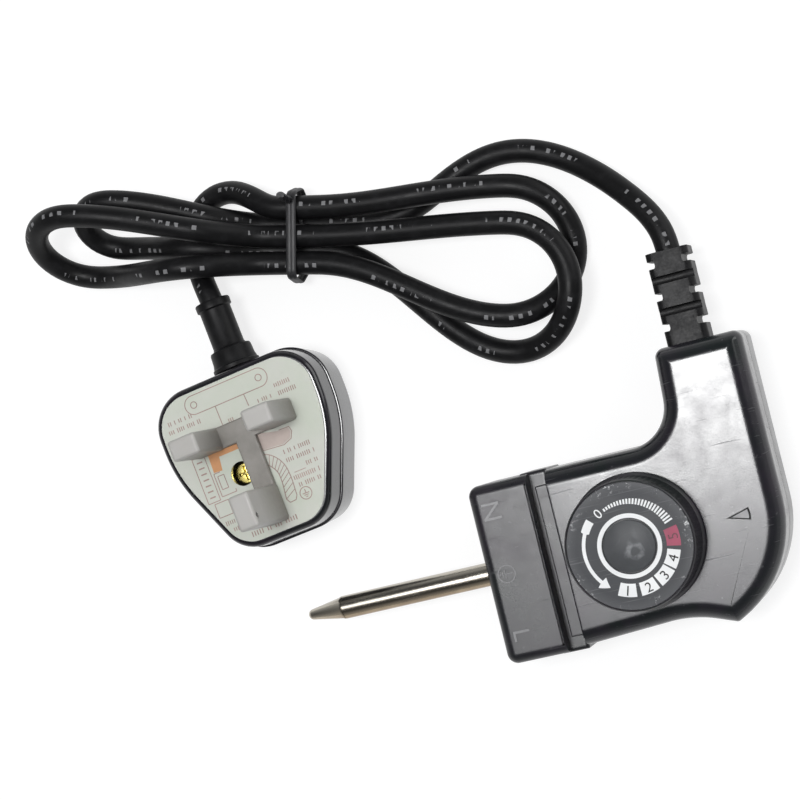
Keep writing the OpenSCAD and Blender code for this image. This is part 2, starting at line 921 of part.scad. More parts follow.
// Bent steel frame: a lug on the probe, a plate under the blades, and an arm for the bush
module mechanism_frame() {
    color(steel)
        difference() {
            union() {
                block([lug_x, -lug_half, frame_low], [lug_x + frame_t, lug_half, frame_top]);
                block([lug_x, -plate_half, frame_low], [frame_end, plate_half, frame_low + frame_t]);
                block([lug_x, -arm_half, frame_top - frame_t], [arm_end, arm_half, frame_top]);
            }
            rod_x(lug_x - over, lug_x + frame_t + over, 0, probe_neck_r + fit_gap);
            rod_z([dial_x, dial_y], frame_top - frame_t - over, frame_top + over, bush_r + fit_gap);
            rod_z([stack_x, 0], frame_low - over, frame_low + frame_t + over, stack_screw_r + fit_gap);
        }
}

module insulator_stack() {
    floors = [frame_low + frame_t, sense_z + blade_t, carrier_z + blade_t];
    heights = [stack_low_h, stack_mid_h, stack_top_h];
    color(ceramic)
        for (i = [0 : len(floors) - 1])
            difference() {
                rod_z([stack_x, 0], floors[i], floors[i] + heights[i], stack_r);
                rod_z([stack_x, 0], floors[i] - over, floors[i] + heights[i] + over, stack_screw_r + fit_gap);
            }
}

// Screwdriver slot in a head whose top is at z
module slot(place, z, r) {
    block(
        [place.x - r - over, place.y - screw_slot_w / 2, z - screw_slot_h],
        [place.x + r + over, place.y + screw_slot_w / 2, z + over]
    );
}

module stack_screw() {
    head_z = carrier_z + blade_t + stack_top_h;
    color(steel)
        difference() {
            union() {
                rod_z([stack_x, 0], frame_low, head_z, stack_screw_r);
                rod_z([stack_x, 0], head_z, head_z + stack_head_h, stack_head_r);
            }
            slot([stack_x, 0], head_z + stack_head_h, stack_head_r);
        }
}

module sensing_blade() {
    color(brass)
        difference() {
            union() {
                block([sense_front, -blade_half, sense_z], [blade_back, blade_half, sense_z + blade_t]);
                block([sense_front, -blade_half, sense_z], [sense_front + blade_t, blade_half, sense_tab_top]);
                block(
                    [blade_back - over, -blade_tail_half, sense_z],
                    [blade_tail, blade_tail_half, sense_z + blade_t]
                );
                rod_z([contact_x, 0], sense_z, moving_z - contact_h - slide_gap, contact_r);
            }
            rod_z([stack_x, 0], sense_z - over, sense_z + blade_t + over, stack_screw_r + fit_gap);
        }
}

module blade_carrier() {
    color(brass)
        difference() {
            union() {
                block([carrier_front, -blade_half, carrier_z], [blade_back, blade_half, carrier_z + blade_t]);
                block(
                    [blade_back - over, -blade_tail_half, carrier_z],
                    [blade_tail, blade_tail_half, carrier_z + blade_t]
                );
            }
            rod_z([stack_x, 0], carrier_z - over, carrier_z + blade_t + over, stack_screw_r + fit_gap);
        }
}

module moving_blade() {
    color(brass)
        union() {
            block([moving_front, -blade_half, moving_z], [moving_back, blade_half, moving_z + blade_t]);
            rod_z([contact_x, 0], moving_z - contact_h, moving_z + blade_t / 2, contact_r);
        }
}

module adjuster_pin() {
    color(ceramic)
        rod_z([dial_x, dial_y], pin_low, pin_top, pin_r);
}

module adjuster_bush() {
    low = frame_top - frame_t - bush_flange_h;
    bore = spindle_r + fit_gap;
    color(brass)
        translate([dial_x, dial_y, 0])
            rotate_extrude()
                polygon([
                    [bore, low],
                    [bush_flange_r, low],
                    [bush_flange_r, low + bush_flange_h],
                    [bush_r, low + bush_flange_h],
                    [bush_r, frame_top],
                    [bush_rim_r, frame_top],
                    [bush_rim_r, frame_top + bush_rim_h],
                    [bore, frame_top + bush_rim_h]
                ]);
}

module dial_spindle() {
    place = [dial_x, dial_y];
    color(steel)
        difference() {
            rod_z(place, spindle_low, spindle_top, spindle_r);
            rod_z(place, spindle_low - over, spindle_low + pin_pocket_h, pin_pocket_r);
            rod_z(place, well_z - knob_screw_len - over, spindle_top + over, knob_screw_r + fit_gap);
        }
}

module dial_knob() {
    side_r = knob_r - knob_foot_step;
    top_r = side_r - knob_draft;
    inner_r = side_r - knob_wall;
    ceiling = plate_z - knob_roof;
    bore = spindle_r + fit_gap;
    screw_way = knob_screw_r + seat_gap;
    color(grey_plastic)
        translate([dial_x, dial_y, 0])
            rotate_extrude($fn = knob_sides)
                polygon([
                    [bore, knob_low + hub_lift],
                    [hub_r, knob_low + hub_lift],
                    [hub_r, ceiling],
                    [inner_r, ceiling],
                    [inner_r, knob_low],
                    [knob_r, knob_low],
                    [knob_r, knob_low + knob_foot_h],
                    [side_r, knob_low + knob_foot_h + knob_foot_step],
                    [top_r, knob_top - knob_rim_r],
                    [top_r - knob_rim_r, knob_top],
                    [plate_r + fit_gap, knob_top],
                    [plate_r + fit_gap, plate_z],
                    [well_r, plate_z],
                    [well_r, well_z],
                    [screw_way, well_z],
                    [screw_way, spindle_top],
                    [bore, spindle_top]
                ]);
}

module dial_plate() {
    color(grey_plastic)
        difference() {
            rod_z([dial_x, dial_y], plate_z, plate_z + plate_t, plate_r);
            rod_z([dial_x, dial_y], plate_z - over, plate_z + plate_t + over, plate_hole_r);
        }
}

// Height of the cap's dome at a share of the way from its rim to its middle
function dome_height(top, share) = top + cap_dome * (1 - (1 - share) * (1 - share));

module knob_cap() {
    low = well_z + knob_screw_head_h + slide_gap;
    top = plate_z + cap_flange_t;
    color(black_plastic)
        translate([dial_x, dial_y, 0])
            rotate_extrude()
                polygon(concat(
                    [[0, low], [cap_stem_r, low], [cap_stem_r, plate_z], [cap_r, plate_z]],
                    [for (k = [0 : round_steps]) [cap_r * (1 - k / round_steps), dome_height(top, k / round_steps)]]
                ));
}

module knob_screw() {
    place = [dial_x, dial_y];
    color(steel)
        difference() {
            union() {
                rod_z(place, well_z - knob_screw_len, well_z, knob_screw_r);
                rod_z(place, well_z, well_z + knob_screw_head_h, knob_screw_head_r);
            }
            slot(place, well_z + knob_screw_head_h, knob_screw_head_r);
        }
}

module housing_screws() {
    head_low = screw_recess_h - screw_head_h;
    color(steel)
        for (p = screw_places)
            difference() {
                union() {
                    rod_z(p, screw_recess_h, screw_recess_h + screw_len, screw_shank_r);
                    rod_z(p, head_low, screw_recess_h, screw_head_r);
                }
                block(
                    [p.x - screw_head_r - over, p.y - screw_slot_w / 2, 0],
                    [p.x + screw_head_r + over, p.y + screw_slot_w / 2, head_low + screw_slot_h]
                );
            }
}

module wire(route, hue) {
    color(hue)
        tube(path_through(route, cord_steps), wire_r, wire_sides);
}

module live_wire() {
    wire(live_wire_route, copper_brown);
}

module load_wire() {
    wire(load_wire_route, copper_brown);
}

module neutral_wire() {
    wire(neutral_wire_route, wire_blue);
}

module earth_wire() {
    wire(earth_wire_route, wire_green);
}

// Square bar along Y with rounded edges, about the cord's axis
module relief_bar(y0, y1, w) {
    half = w / 2;
    corners = [for (p = [[-half, -half], [half, -half], [half, half], [-half, half]])
        [p, relief_corner_r, some_points]
    ];
    translate([relief_x, y1, axis_z])
        rotate([90, 0, 0])
            linear_extrude(y1 - y0)
                polygon(outline(corners, 0));
}

// Cut across the strain relief on one side, down to the web about the cord; the side is given
// by the direction in which the cut leaves the cord
module relief_cut(share, way) {
    half = relief_w / 2 + over;
    web = cord_bore_r + relief_web;
    y = handle_reach + share * relief_len - relief_slot_w / 2;
    low_x = way.x > 0 ? web : -half;
    low_z = way.z > 0 ? web : -half;
    size_x = way.x == 0 ? half + half : half - web;
    size_z = way.z == 0 ? half + half : half - web;
    translate([relief_x + low_x, y, axis_z + low_z])
        cube([size_x, relief_slot_w, size_z]);
}

module strain_relief() {
    inside = handle_reach - wall;
    foot = inside - relief_flange_len;
    color(rubber)
        difference() {
            union() {
                relief_bar(foot, inside, relief_flange_w);
                relief_bar(inside - over, handle_reach + over, relief_neck_w);
                relief_bar(handle_reach, relief_end, relief_w);
            }
            translate([relief_x, foot - over, axis_z])
                rotate([-90, 0, 0])
                    cylinder(r = cord_bore_r, h = relief_end - foot + over + over);
            for (share = side_slot_shares, side = [-1, 1])
                relief_cut(share, [side, 0, 0]);
            for (share = top_slot_shares, side = [-1, 1])
                relief_cut(share, [0, 0, side]);
        }
}

module cord_lead() {
    color(rubber)
        tube(lead_path(cord_steps), cord_r, cord_sides);
}

module cord_hank() {
    color(rubber)
        tube(hank_path(fold_rings), cord_r, hank_sides);
}

module plug_lead() {
    color(rubber)
        tube(tail_path(cord_steps), cord_r, cord_sides);
}

// Band round the five strands at the waist, seen along the hank, and its twisted end
module twist_tie() {
    low = hank_lift - tie_gap;
    high = waist_height(fold_count) + cord_r + tie_gap;
    middle = (low + high) / 2 + tie_gap;
    left_top = waist_place[3] - cord_r - tie_gap;
    right_top = waist_place[fold_count] + cord_r + tie_gap;
    corners = [
        [[waist_place[1] - cord_r - tie_spread, low], tie_corner_r, some_points],
        [[waist_place[0] + cord_r + tie_spread, low], tie_corner_r, some_points],
        [[right_top + tie_spread, middle], tie_corner_r, some_points],
        [[right_top, high], tie_corner_r, some_points],
        [[left_top, high], tie_corner_r, some_points],
        [[left_top - tie_spread, middle], tie_corner_r, some_points]
    ];
    color(black_plastic)
        translate([hank_x, hank_y, 0])
            rotate(hank_turn_deg)
                union() {
                    translate([-tie_w / 2, 0, 0])
                        rotate([90, 0, 90])
                            linear_extrude(tie_w)
                                difference() {
                                    polygon(outline(corners, -tie_t));
                                    polygon(outline(corners, 0));
                                }
                    translate([0, right_top - tie_w, high + tie_t / 2])
                        linear_extrude(tie_tail_len, twist = tie_tail_turn_deg, slices = tie_tail_slices)
                            square([tie_w + tie_t, tie_w], center = true);
                }
}

// Places a piece in the plug's own axes: x to the cord, y to the neutral pin
module in_plug() {
    translate([plug_x, plug_y, 0])
        rotate(plug_turn_deg)
            children();
}

// Cylinder along the plug's x axis, at the height of the cord
module plug_rod(x0, x1, r) {
    translate([x0, 0, cord_exit_z])
        rotate([0, 90, 0])
            cylinder(r = r, h = x1 - x0);
}

module plug_inner(gap) {
    polygon(outline(plug_corners, plug_wall + gap));
}

// Entry of the sleeve, open to the parting plane
module plug_entry() {
    r = sleeve_neck_r + fit_gap;
    plug_rod(plug_front - plug_wall - over, plug_front + over, r);
    block(
        [plug_front - plug_wall - over, -r, cord_exit_z],
        [plug_front + over, r, plug_split + over]
    );
}

module plug_cover() {
    screw_place = [plug_screw_x, plug_screw_y];
    color(black_plastic)
        in_plug()
            difference() {
                union() {
                    difference() {
                        loft(concat(
                            [for (k = [0 : round_steps])
                                level_ring(
                                    plug_corners,
                                    plug_draft + plug_back_edge_r * (1 - sin(90 * k / round_steps)),
                                    plug_back_edge_r * (1 - cos(90 * k / round_steps))
                                )
                            ],
                            [level_ring(plug_corners, 0, plug_split)]
                        ));
                        slab(plug_wall, plug_split + over)
                            plug_inner(0);
                    }
                    rod_z(screw_place, plug_wall / 2, plug_split, plug_boss_r - over);
                }
                rod_z(screw_place, plug_screw_low - over, plug_split + over, plug_screw_r + fit_gap);
                plug_entry();
            }
}

module pin_hole(x, y, w, l) {
    block(
        [x - l / 2 - pin_hole_gap, y - w / 2 - pin_hole_gap, plug_roof - over],
        [x + l / 2 + pin_hole_gap, y + w / 2 + pin_hole_gap, plug_depth + over]
    );
}

module all_pin_holes() {
    pin_hole(0, live_y, short_pin_w, pin_t);
    pin_hole(0, neutral_y, short_pin_w, pin_t);
    pin_hole(earth_x, 0, pin_t, earth_pin_w);
}

module plug_base() {
    screw_place = [plug_screw_x, plug_screw_y];
    side_inset = plug_step + plug_face_draft;
    into_roof = plug_roof + plug_wall / 2;
    color(black_plastic)
        in_plug()
            difference() {
                union() {
                    difference() {
                        loft(concat(
                            [level_ring(plug_corners, plug_step, plug_split)],
                            [for (k = [0 : round_steps])
                                level_ring(
                                    plug_corners,
                                    side_inset + plug_face_edge_r * (1 - cos(90 * k / round_steps)),
                                    face_z - plug_face_edge_r * (1 - sin(90 * k / round_steps))
                                )
                            ]
                        ));
                        slab(plug_split - over, plug_roof)
                            plug_inner(plug_step);
                    }
                    rod_z(screw_place, plug_split, into_roof, plug_boss_r);
                    rod_z([back_clip_x, fuse_y], clip_top, into_roof, clip_post_r);
                    for (y = [-grip_post_y, grip_post_y])
                        rod_z([grip_x, y], cord_exit_z - cord_r - seat_gap, into_roof, grip_post_r);
                    block(
                        [grip_x - grip_w / 2, -grip_saddle_half, cord_exit_z + cord_r + seat_gap],
                        [grip_x + grip_w / 2, grip_saddle_half, into_roof]
                    );
                }
                rod_z(screw_place, plug_split - over, plug_depth, plug_screw_r + seat_gap);
                rod_z(screw_place, plug_screw_seat, plug_depth, plug_screw_head_r + seat_gap);
                for (y = [-grip_post_y, grip_post_y])
                    rod_z([grip_x, y], 0, grip_screw_top + over, grip_screw_r + fit_gap);
                all_pin_holes();
                plug_entry();
            }
}

module plug_card() {
    hole_r = plug_screw_head_r + seat_gap;
    color(card_white)
        in_plug()
            difference() {
                slab(face_z, plug_depth)
                    polygon(outline(plug_corners, plug_step + plug_face_draft + card_in));
                rod_z([plug_screw_x, plug_screw_y], face_z - over, plug_depth + over, hole_r);
                all_pin_holes();
            }
}

// Flat pin with bevelled end, w across and l along the plug's x axis
module pin_blade(x, y, w, l, len) {
    top = plug_depth + len;
    low = plug_roof - pin_foot_h;
    corners = [
        [[-l / 2, -w / 2], least_r, few_points],
        [[l / 2, -w / 2], least_r, few_points],
        [[l / 2, w / 2], least_r, few_points],
        [[-l / 2, w / 2], least_r, few_points]
    ];
    translate([x, y, 0])
        loft([
            level_ring(corners, 0, low),
            level_ring(corners, 0, top - pin_point),
            level_ring(corners, pin_point, top)
        ]);
}

module pin_foot(a, b) {
    block([a.x, a.y, plug_roof - pin_foot_h], [b.x, b.y, plug_roof]);
}

module live_pin() {
    leg_x = front_clip_x - clip_w / 2;
    leg_y = fuse_y - clip_leg_w / 2;
    foot_end = back_clip_x - clip_post_r - slide_gap;
    color(brass)
        in_plug()
            union() {
                pin_blade(0, live_y, short_pin_w, pin_t, pin_len);
                pin_foot([leg_x, leg_y], [foot_end, live_y + short_pin_w / 2]);
                block([leg_x, leg_y, clip_top], [leg_x + clip_w, leg_y + clip_leg_w, plug_roof]);
            }
}

module neutral_pin() {
    color(brass)
        in_plug()
            union() {
                pin_blade(0, neutral_y, short_pin_w, pin_t, pin_len);
                pin_foot(
                    [-pin_foot_l / 2, neutral_y - pin_foot_w / 2],
                    [pin_foot_l / 2, neutral_y + pin_foot_w / 2]
                );
            }
}

module earth_pin() {
    half = earth_pin_w / 2 + over;
    color(brass)
        in_plug()
            union() {
                pin_blade(earth_x, 0, pin_t, earth_pin_w, earth_pin_len);
                pin_foot([earth_x - half, -pin_foot_w / 2], [earth_x + half, pin_foot_w / 2]);
            }
}

module plug_screw() {
    place = [plug_screw_x, plug_screw_y];
    top = plug_screw_seat + plug_screw_head_h;
    color(brass)
        in_plug()
            difference() {
                union() {
                    rod_z(place, plug_screw_low, plug_screw_seat, plug_screw_r);
                    rod_z(place, plug_screw_seat, top, plug_screw_head_r);
                }
                for (a = [0, 90])
                    translate([place.x, place.y, top - cross_w])
                        rotate(a)
                            block([-cross_len / 2, -cross_w / 2, 0], [cross_len / 2, cross_w / 2, cross_w + over]);
            }
}

// The three boxes of the pin cover, grown by a gap round the pins, from low to a rise over them
module cover_boxes(gap, low, rise) {
    boxes = [
        [0, live_y, short_pin_w, pin_t, pin_len],
        [0, neutral_y, short_pin_w, pin_t, pin_len],
        [earth_x, 0, pin_t, earth_pin_w, earth_pin_len]
    ];
    for (b = boxes)
        block(
            [b[0] - b[3] / 2 - gap, b[1] - b[2] / 2 - gap, low],
            [b[0] + b[3] / 2 + gap, b[1] + b[2] / 2 + gap, plug_depth + b[4] + rise]
        );
}

module pin_cover() {
    color(frosted)
        in_plug()
            difference() {
                union() {
                    cover_boxes(cover_gap + cover_wall, cover_z, cover_gap + cover_roof);
                    block(
                        [-cover_web_w / 2, live_y, cover_z],
                        [cover_web_w / 2, neutral_y, cover_z + cover_web_t]
                    );
                    block(
                        [earth_x, -cover_web_w / 2, cover_z],
                        [0, cover_web_w / 2, cover_z + cover_web_t]
                    );
                }
                cover_boxes(cover_gap, cover_z - over, cover_gap);
                translate([earth_x - earth_pin_w / 4, -earth_pin_w, plug_depth + pin_len])
                    rotate([-90, 0, 0])
                        cylinder(r = cover_hole_r, h = earth_pin_w + earth_pin_w);
            }
}

// Stretch of the fuse, between two places along the plug's x axis
module fuse_part(x0, x1, r) {
    translate([x0, fuse_y, fuse_z])
        rotate([0, 90, 0])
            cylinder(r = r, h = x1 - x0);
}

module fuse() {
    end = fuse_x + fuse_len;
    color(ceramic)
        in_plug()
            union() {
                fuse_part(fuse_x, fuse_x + fuse_cap_len, fuse_r);
                fuse_part(fuse_x, end, fuse_r - fuse_cap_step);
                fuse_part(end - fuse_cap_len, end, fuse_r);
            }
}

module fuse_clips() {
    r = fuse_r + fit_gap;
    half = r + clip_t;
    color(brass)
        in_plug()
            for (x = [front_clip_x, back_clip_x])
                difference() {
                    block(
                        [x - clip_w / 2, fuse_y - half, fuse_z - clip_drop],
                        [x + clip_w / 2, fuse_y + half, clip_top]
                    );
                    fuse_part(x - clip_w, x + clip_w, r);
                }
}

module cord_grip() {
    top = cord_exit_z - cord_r - seat_gap;
    color(black_plastic)
        in_plug()
            difference() {
                block([grip_x - grip_w / 2, -grip_half, top - grip_t], [grip_x + grip_w / 2, grip_half, top]);
                for (y = [-grip_post_y, grip_post_y])
                    rod_z([grip_x, y], 0, top + over, grip_screw_r + seat_gap);
            }
}

module grip_screws() {
    seat = cord_exit_z - cord_r - seat_gap - grip_t;
    head_low = seat - grip_screw_head_h;
    color(steel)
        in_plug()
            for (y = [-grip_post_y, grip_post_y])
                difference() {
                    union() {
                        rod_z([grip_x, y], seat, grip_screw_top, grip_screw_r);
                        rod_z([grip_x, y], head_low, seat, grip_screw_head_r);
                    }
                    block(
                        [grip_x - grip_w, y - screw_slot_w / 2, 0],
                        [grip_x + grip_w, y + screw_slot_w / 2, head_low + screw_slot_h]
                    );
                }
}

module plug_sleeve() {
    neck_in = plug_front - plug_wall - fit_gap;
    color(rubber)
        in_plug()
            difference() {
                union() {
                    plug_rod(neck_in - sleeve_flange_l, neck_in, sleeve_flange_r);
                    plug_rod(neck_in - over, plug_front + over, sleeve_neck_r);
                    plug_rod(plug_front, sleeve_end, sleeve_r);
                    translate([plug_front, 0, cord_exit_z])
                        rotate([0, 90, 0])
                            cylinder(
                                r1 = sleeve_collar_r, r2 = sleeve_collar_r - sleeve_collar_step,
                                h = sleeve_collar_end - plug_front
                            );
                    plug_rod(sleeve_end - sleeve_lip - sleeve_lip, sleeve_end, sleeve_r + sleeve_lip / 2);
                }
                plug_rod(neck_in - sleeve_flange_l - over, sleeve_end + over, cord_bore_r);
            }
}

translate([-mid_x, -mid_y, 0]) {
    upper_housing();
    lower_housing();
    connector_block();
    probe_tube();
    probe_tip();
    transfer_rod();
    probe_collar();
    earth_tag();
    live_socket();
    neutral_socket();
    mechanism_frame();
    insulator_stack();
    stack_screw();
    sensing_blade();
    blade_carrier();
    moving_blade();
    adjuster_pin();
    adjuster_bush();
    dial_spindle();
    dial_knob();
    dial_plate();
    knob_cap();
    knob_screw();
    housing_screws();
    live_wire();
    load_wire();
    neutral_wire();
    earth_wire();
    strain_relief();
    cord_lead();
    cord_hank();
    plug_lead();
    twist_tie();
    plug_sleeve();
    plug_base();
    plug_cover();
    plug_card();
    live_pin();
    neutral_pin();
    earth_pin();
    plug_screw();
    pin_cover();
    fuse();
    fuse_clips();
    cord_grip();
    grip_screws();
}
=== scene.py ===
import json
import math

import bmesh
import bpy
import numpy as np
from bpy.props import FloatProperty, FloatVectorProperty, IntProperty, PointerProperty
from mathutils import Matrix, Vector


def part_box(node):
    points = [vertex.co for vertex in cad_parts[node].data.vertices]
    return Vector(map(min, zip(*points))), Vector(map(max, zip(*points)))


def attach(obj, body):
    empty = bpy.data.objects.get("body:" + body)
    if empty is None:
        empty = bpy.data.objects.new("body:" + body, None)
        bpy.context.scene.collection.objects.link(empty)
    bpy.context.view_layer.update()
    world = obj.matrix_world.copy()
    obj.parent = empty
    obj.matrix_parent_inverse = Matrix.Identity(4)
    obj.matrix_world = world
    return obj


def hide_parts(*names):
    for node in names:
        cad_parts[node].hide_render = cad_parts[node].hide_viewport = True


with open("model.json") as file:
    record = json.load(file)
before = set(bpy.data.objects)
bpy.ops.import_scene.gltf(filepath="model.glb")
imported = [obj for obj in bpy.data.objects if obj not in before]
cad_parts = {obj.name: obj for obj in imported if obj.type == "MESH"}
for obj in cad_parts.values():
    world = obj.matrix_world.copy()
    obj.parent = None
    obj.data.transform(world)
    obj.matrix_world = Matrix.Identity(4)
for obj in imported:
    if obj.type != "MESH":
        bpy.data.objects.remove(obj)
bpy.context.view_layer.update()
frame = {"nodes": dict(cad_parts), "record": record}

bl_info = {
    "name": "Griddle heat control",
    "version": (1, 0, 0),
    "blender": (4, 5, 0),
    "location": "View3D > Sidebar > Heat control",
    "description": "Dresses the plug-in heat control of a griddle with its cord and plug",
    "category": "Object",
}

MM = 0.001
WELD = 5e-7
BLOCK_LOW, BLOCK_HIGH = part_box("connector_block")
ORIGIN = np.array([BLOCK_LOW.x, (BLOCK_LOW.y + BLOCK_HIGH.y) / 2, 0.0])

# Lengths below are in millimetres. The part's own frame has the connector's front at x = 0,
# the probe's axis at y = 0 and the table at z = 0. An outline's corners are x, y and radius.
LEAST = 0.3
STEPS = 8
FINE = 14

SPLIT = 13.0
AXIS = 13.0
TOP = 26.0
WALL = 2.2
BODY_FRONT = 21.5
BODY = [
    (21.5, -23.3, 0.3), (50.5, -21.6, 30), (61.5, -25.7, 1.2), (80, -16, 31),
    (80, 47.5, 2.5), (57, 47.5, 2.5), (55.6, 24, 11), (21.5, 24, 0.3),
]
BODY_INSIDE = [(9.5, -24, 0.3)] + BODY[1:7] + [(9.5, 24, 0.3)]
SIDES = len(BODY) - 1
SHELL_BEVEL, FOOT_EDGE, FRONT_EDGE = 0.25, 3.0, 0.4
SCREWS = [(38.5, -16.2), (38.5, 16.2), (69.8, -9), (73, 34)]
SCREW_BOSS, SCREW_BORE, SCREW_END = 3.4, 1.25, 21.0
FOOT_BOSS, FOOT_BORE, RECESS, RECESS_END = 4.4, 1.7, 3.15, 4.0
POINTER = (65.2, 1.1)
POINTER_REACH, POINTER_SPREAD, POINTER_DEPTH, INLAY_DEPTH = 6.4, 15.5, 0.35, 0.5
# Groove and inlay as tip, middle, reach, spread, and how far the top lies below the shell's
GROOVE = (65.35, 65.25, 6.3, POINTER_SPREAD * 0.97, 0.2)
INLAY = (66.6, 66.2, 4.9, POINTER_SPREAD * 0.9, 0.05)
RIB_PLACES, RIB_MIDDLE, RIB_TALL, RIB_PROUD, RIB_SUNK = (47.9, 52.2, 56.4), 6.5, 3.6, 0.75, 0.25
NOTCH, NOTCH_EDGE = ((60.9, 44.3, 8.2), (70.5, 48.5, 17.8)), 1.8

HALF_BLOCK = 24.0
BLOCK_BACK = 16.5
BLOCK_EDGES = [2.8, 0.3, 2.8, 2.8]
SOCKET_OUT, SOCKET_WAY, PROBE_WAY, TONGUE_END = 16.0, 3.25, 3.0, 27.0
BLOCK_FRONT_R, LIP_EDGE, NECK_CORNER, NECK_EDGE = 2.9, 0.15, 0.4, 1.0
LIP = ((15.7, -21.9, TOP - 1), (16.35, 21.9, TOP + 0.22))
NECK = ((14, -24.4, 3), (BODY_FRONT, 24.4, 21))
TONGUE = ((18, -20.3, 2.4), (TONGUE_END, 20.3, 23.6))
# Terminal letters as sign, place and height; the earth sign's bars as x and half length
TERMINALS = (("N", (5.75, 16.7), 4.9), ("L", (5.8, -16.8), 4.6))
EARTH_MARK, EARTH_MARK_R, EARTH_STEM = (5.7, -0.2), 2.3, (5.3, 7.3)
MARK_BARS = ((5.3, 1.2), (4.65, 0.8), (4.05, 0.4))
MARK_DEEP, MARK_PROUD, RING_HALF, BAR_HALF = 0.1, 0.16, 0.17, 0.14
# Probe sections as radius and x
SHEATH = [
    (2.7, -44.5), (2.7, -0.8), (2.45, -0.8), (2.45, 30), (2.95, 30),
    (2.95, -0.3), (3.05, -0.3), (3.2, -0.45), (3.2, -44.35), (3.05, -44.5),
]
NOSE_R, NOSE_X, NOSE_TURN = 1.5, -55.0, 74.0
NOSE_BACK = [(2.95, -45.2), (3.12, -44.9), (3.12, -44.55), (2.6, -44.5), (2.6, -41.5), (0, -41.5)]

DIAL = (41.5, 0.5)
DIAL_HOLE = 3.2
PLATE_TOP = 37.9
# Knob's section as radius, height and share of the flutes' depth
KNOB = [
    (3.05, 27.2, 0), (5.2, 27.2, 0), (5.2, 34.5, 0), (15.5, 34.5, 0), (15.5, 26.4, 0),
    (17.85, 26.4, 0), (18.0, 26.55, 0), (18.0, 27.6, 0), (17.9, 27.95, 0), (17.32, 28.6, 0),
    (17.3, 29.0, 0), (17.28, 29.3, 1), (17.1, 33, 1), (16.95, 36.6, 1), (16.92, 36.9, 0),
    (16.9, 37.35, 0), (16.83, 37.7, 0), (16.66, 37.92, 0), (16.5, 38.0, 0), (16.42, 37.97, 0),
    (16.37, 37.9, 0), (16.35, 37.5, 0), (3.8, 37.5, 0), (3.8, 34.9, 0), (1.2, 34.9, 0),
    (1.2, 33.5, 0), (3.05, 33.5, 0),
]
FLUTE_SIDES = 6
LABEL = [
    (6.9, 37.5), (16.15, 37.5), (16.3, 37.6), (16.3, 37.8), (16.2, PLATE_TOP), (7.0, PLATE_TOP),
    (6.9, 37.82),
]
CAP_FOOT = [(0, 36.7), (3.6, 36.7), (3.6, 37.5), (6.6, 37.5), (6.7, 37.6), (6.7, 38.25)]
CAP_R, CAP_RIM, CAP_RISE = 6.55, 38.4, 0.6
SETTINGS = (("4", -27.9), ("3", -52.5), ("2", -78.3), ("1", -106.2))
ZERO_AT = 121.5
BOX_MIDDLE, BOX_HALF, BOX_SPREAD = 11.3, 1.7, 11.2
SIGN_REACH, SIGN_TALL = 11.4, 2.5
ARROW_R, ARROW_START, ARROW_END = 11.8, -224.5, -128.2
ARROW_LINE, ARROW_TAIL, ARROW_HEAD = 0.46, 1.1, 1.75
TAIL_END, HEAD_START = -207.5, -141.0
TICKS, TICK_START, TICK_END = 24, 112.0, 20.0
TICK_FOOT, TICK_REACH, TICK_GROWTH, TICK_HALF = 10.7, 11.5, 1.5, 0.24
CAP_RING_R, CAP_RING_HALF, HIGHEST_HALF, HIGHEST_SPREAD = 7.75, 0.56, 1.8, 12

RELIEF = (65.7, 47.5, 72.2)
RELIEF_BAR, RELIEF_CORNER, RELIEF_FLANGE, RELIEF_NECK = 5.65, 1.8, 6.0, 4.6
RELIEF_WEB, RELIEF_SLOT, SLOT_ROUND, RELIEF_ROOT, RELIEF_BORE = 3.85, 1.0, 0.25, 3.2, 3.4
SIDE_SLOTS, TOP_SLOTS = (0.2, 0.53, 0.875), (0.36, 0.7)

PLUG = (-56.4, 54.1, 98.0)
PLUG_CORNERS = [
    (17.4, -25.4, 12), (17.4, 25.4, 12), (-5.7, 25.4, 40),
    (-32.3, 14, 11), (-32.3, -14, 11), (-5.7, -25.4, 40),
]
PLUG_SPLIT = 16.0
PLUG_FOOT, PLUG_LEAN, PLUG_WALL, PLUG_LIP = 3.0, 0.8, 2.4, 0.35
PLUG_LEVELS = [3.4, 15.5, 15.75, 15.93, 16]
FRONT_STEP, FRONT_EDGE_R, FRONT_DRAFT, CARD_DEEP = 0.5, 1.5, 0.4, 0.3
FACE = 25.0
# Pins as place, width across the plug, thickness along it and length
PINS = [(0, -11.1, 6.35, 4, 17.7), (0, 11.1, 6.35, 4, 17.7), (-22.2, 0, 4, 8, 22.7)]
PLUG_SCREW = (-11.2, 5.0)
SCREW_WAY, SCREW_SEAT = 3.4, 20.0
CROSS_REACH, CROSS_HALF, CROSS_FOOT, CROSS_CORNER = 2.1, 0.42, 20.9, 0.31
# The screw's shank as radius and height, its head's rim as an oval quarter, and the head's top
SHANK = [(0, 6), (1.6, 6), (1.7, 6.2), (1.7, SCREW_SEAT), (3.2, SCREW_SEAT)]
RIM_R, RIM_LEVEL, RIM_OUT, RIM_RISE = 2.6, 21.6, 0.6, 0.5
HEAD_TOP = [(1.5, 22.2), (0, 22.2)]
FACE_WALL, FRONT_BOSS, FRONT_BOSS_DOWN, FRONT_BORE = 2.7, 5.2, 1.5, (1.9, 14, 21, 32)
BACK_BOSS, BACK_BORE, BACK_BORE_FOOT = 4.2, 1.75, 5
GUARD_WALL, GUARD_GAP, GUARD_LIFT, GUARD_OVER = 1.2, 0.3, 0.3, 1.3
GUARD_EDGES = {"r": 1.1, "high_r": 0.75, "draft": 0.35}
WEB_HALF, WEB_TALL, WEB_EDGE, BRIDGE_REACH, STEM = 3.0, 1.9, 0.4, 8, (-20, 2)
GUARD_HOLE, GUARD_HOLE_X = 0.8, -24.2
CORD_EXIT = 11.5
ENTRY = 4.05
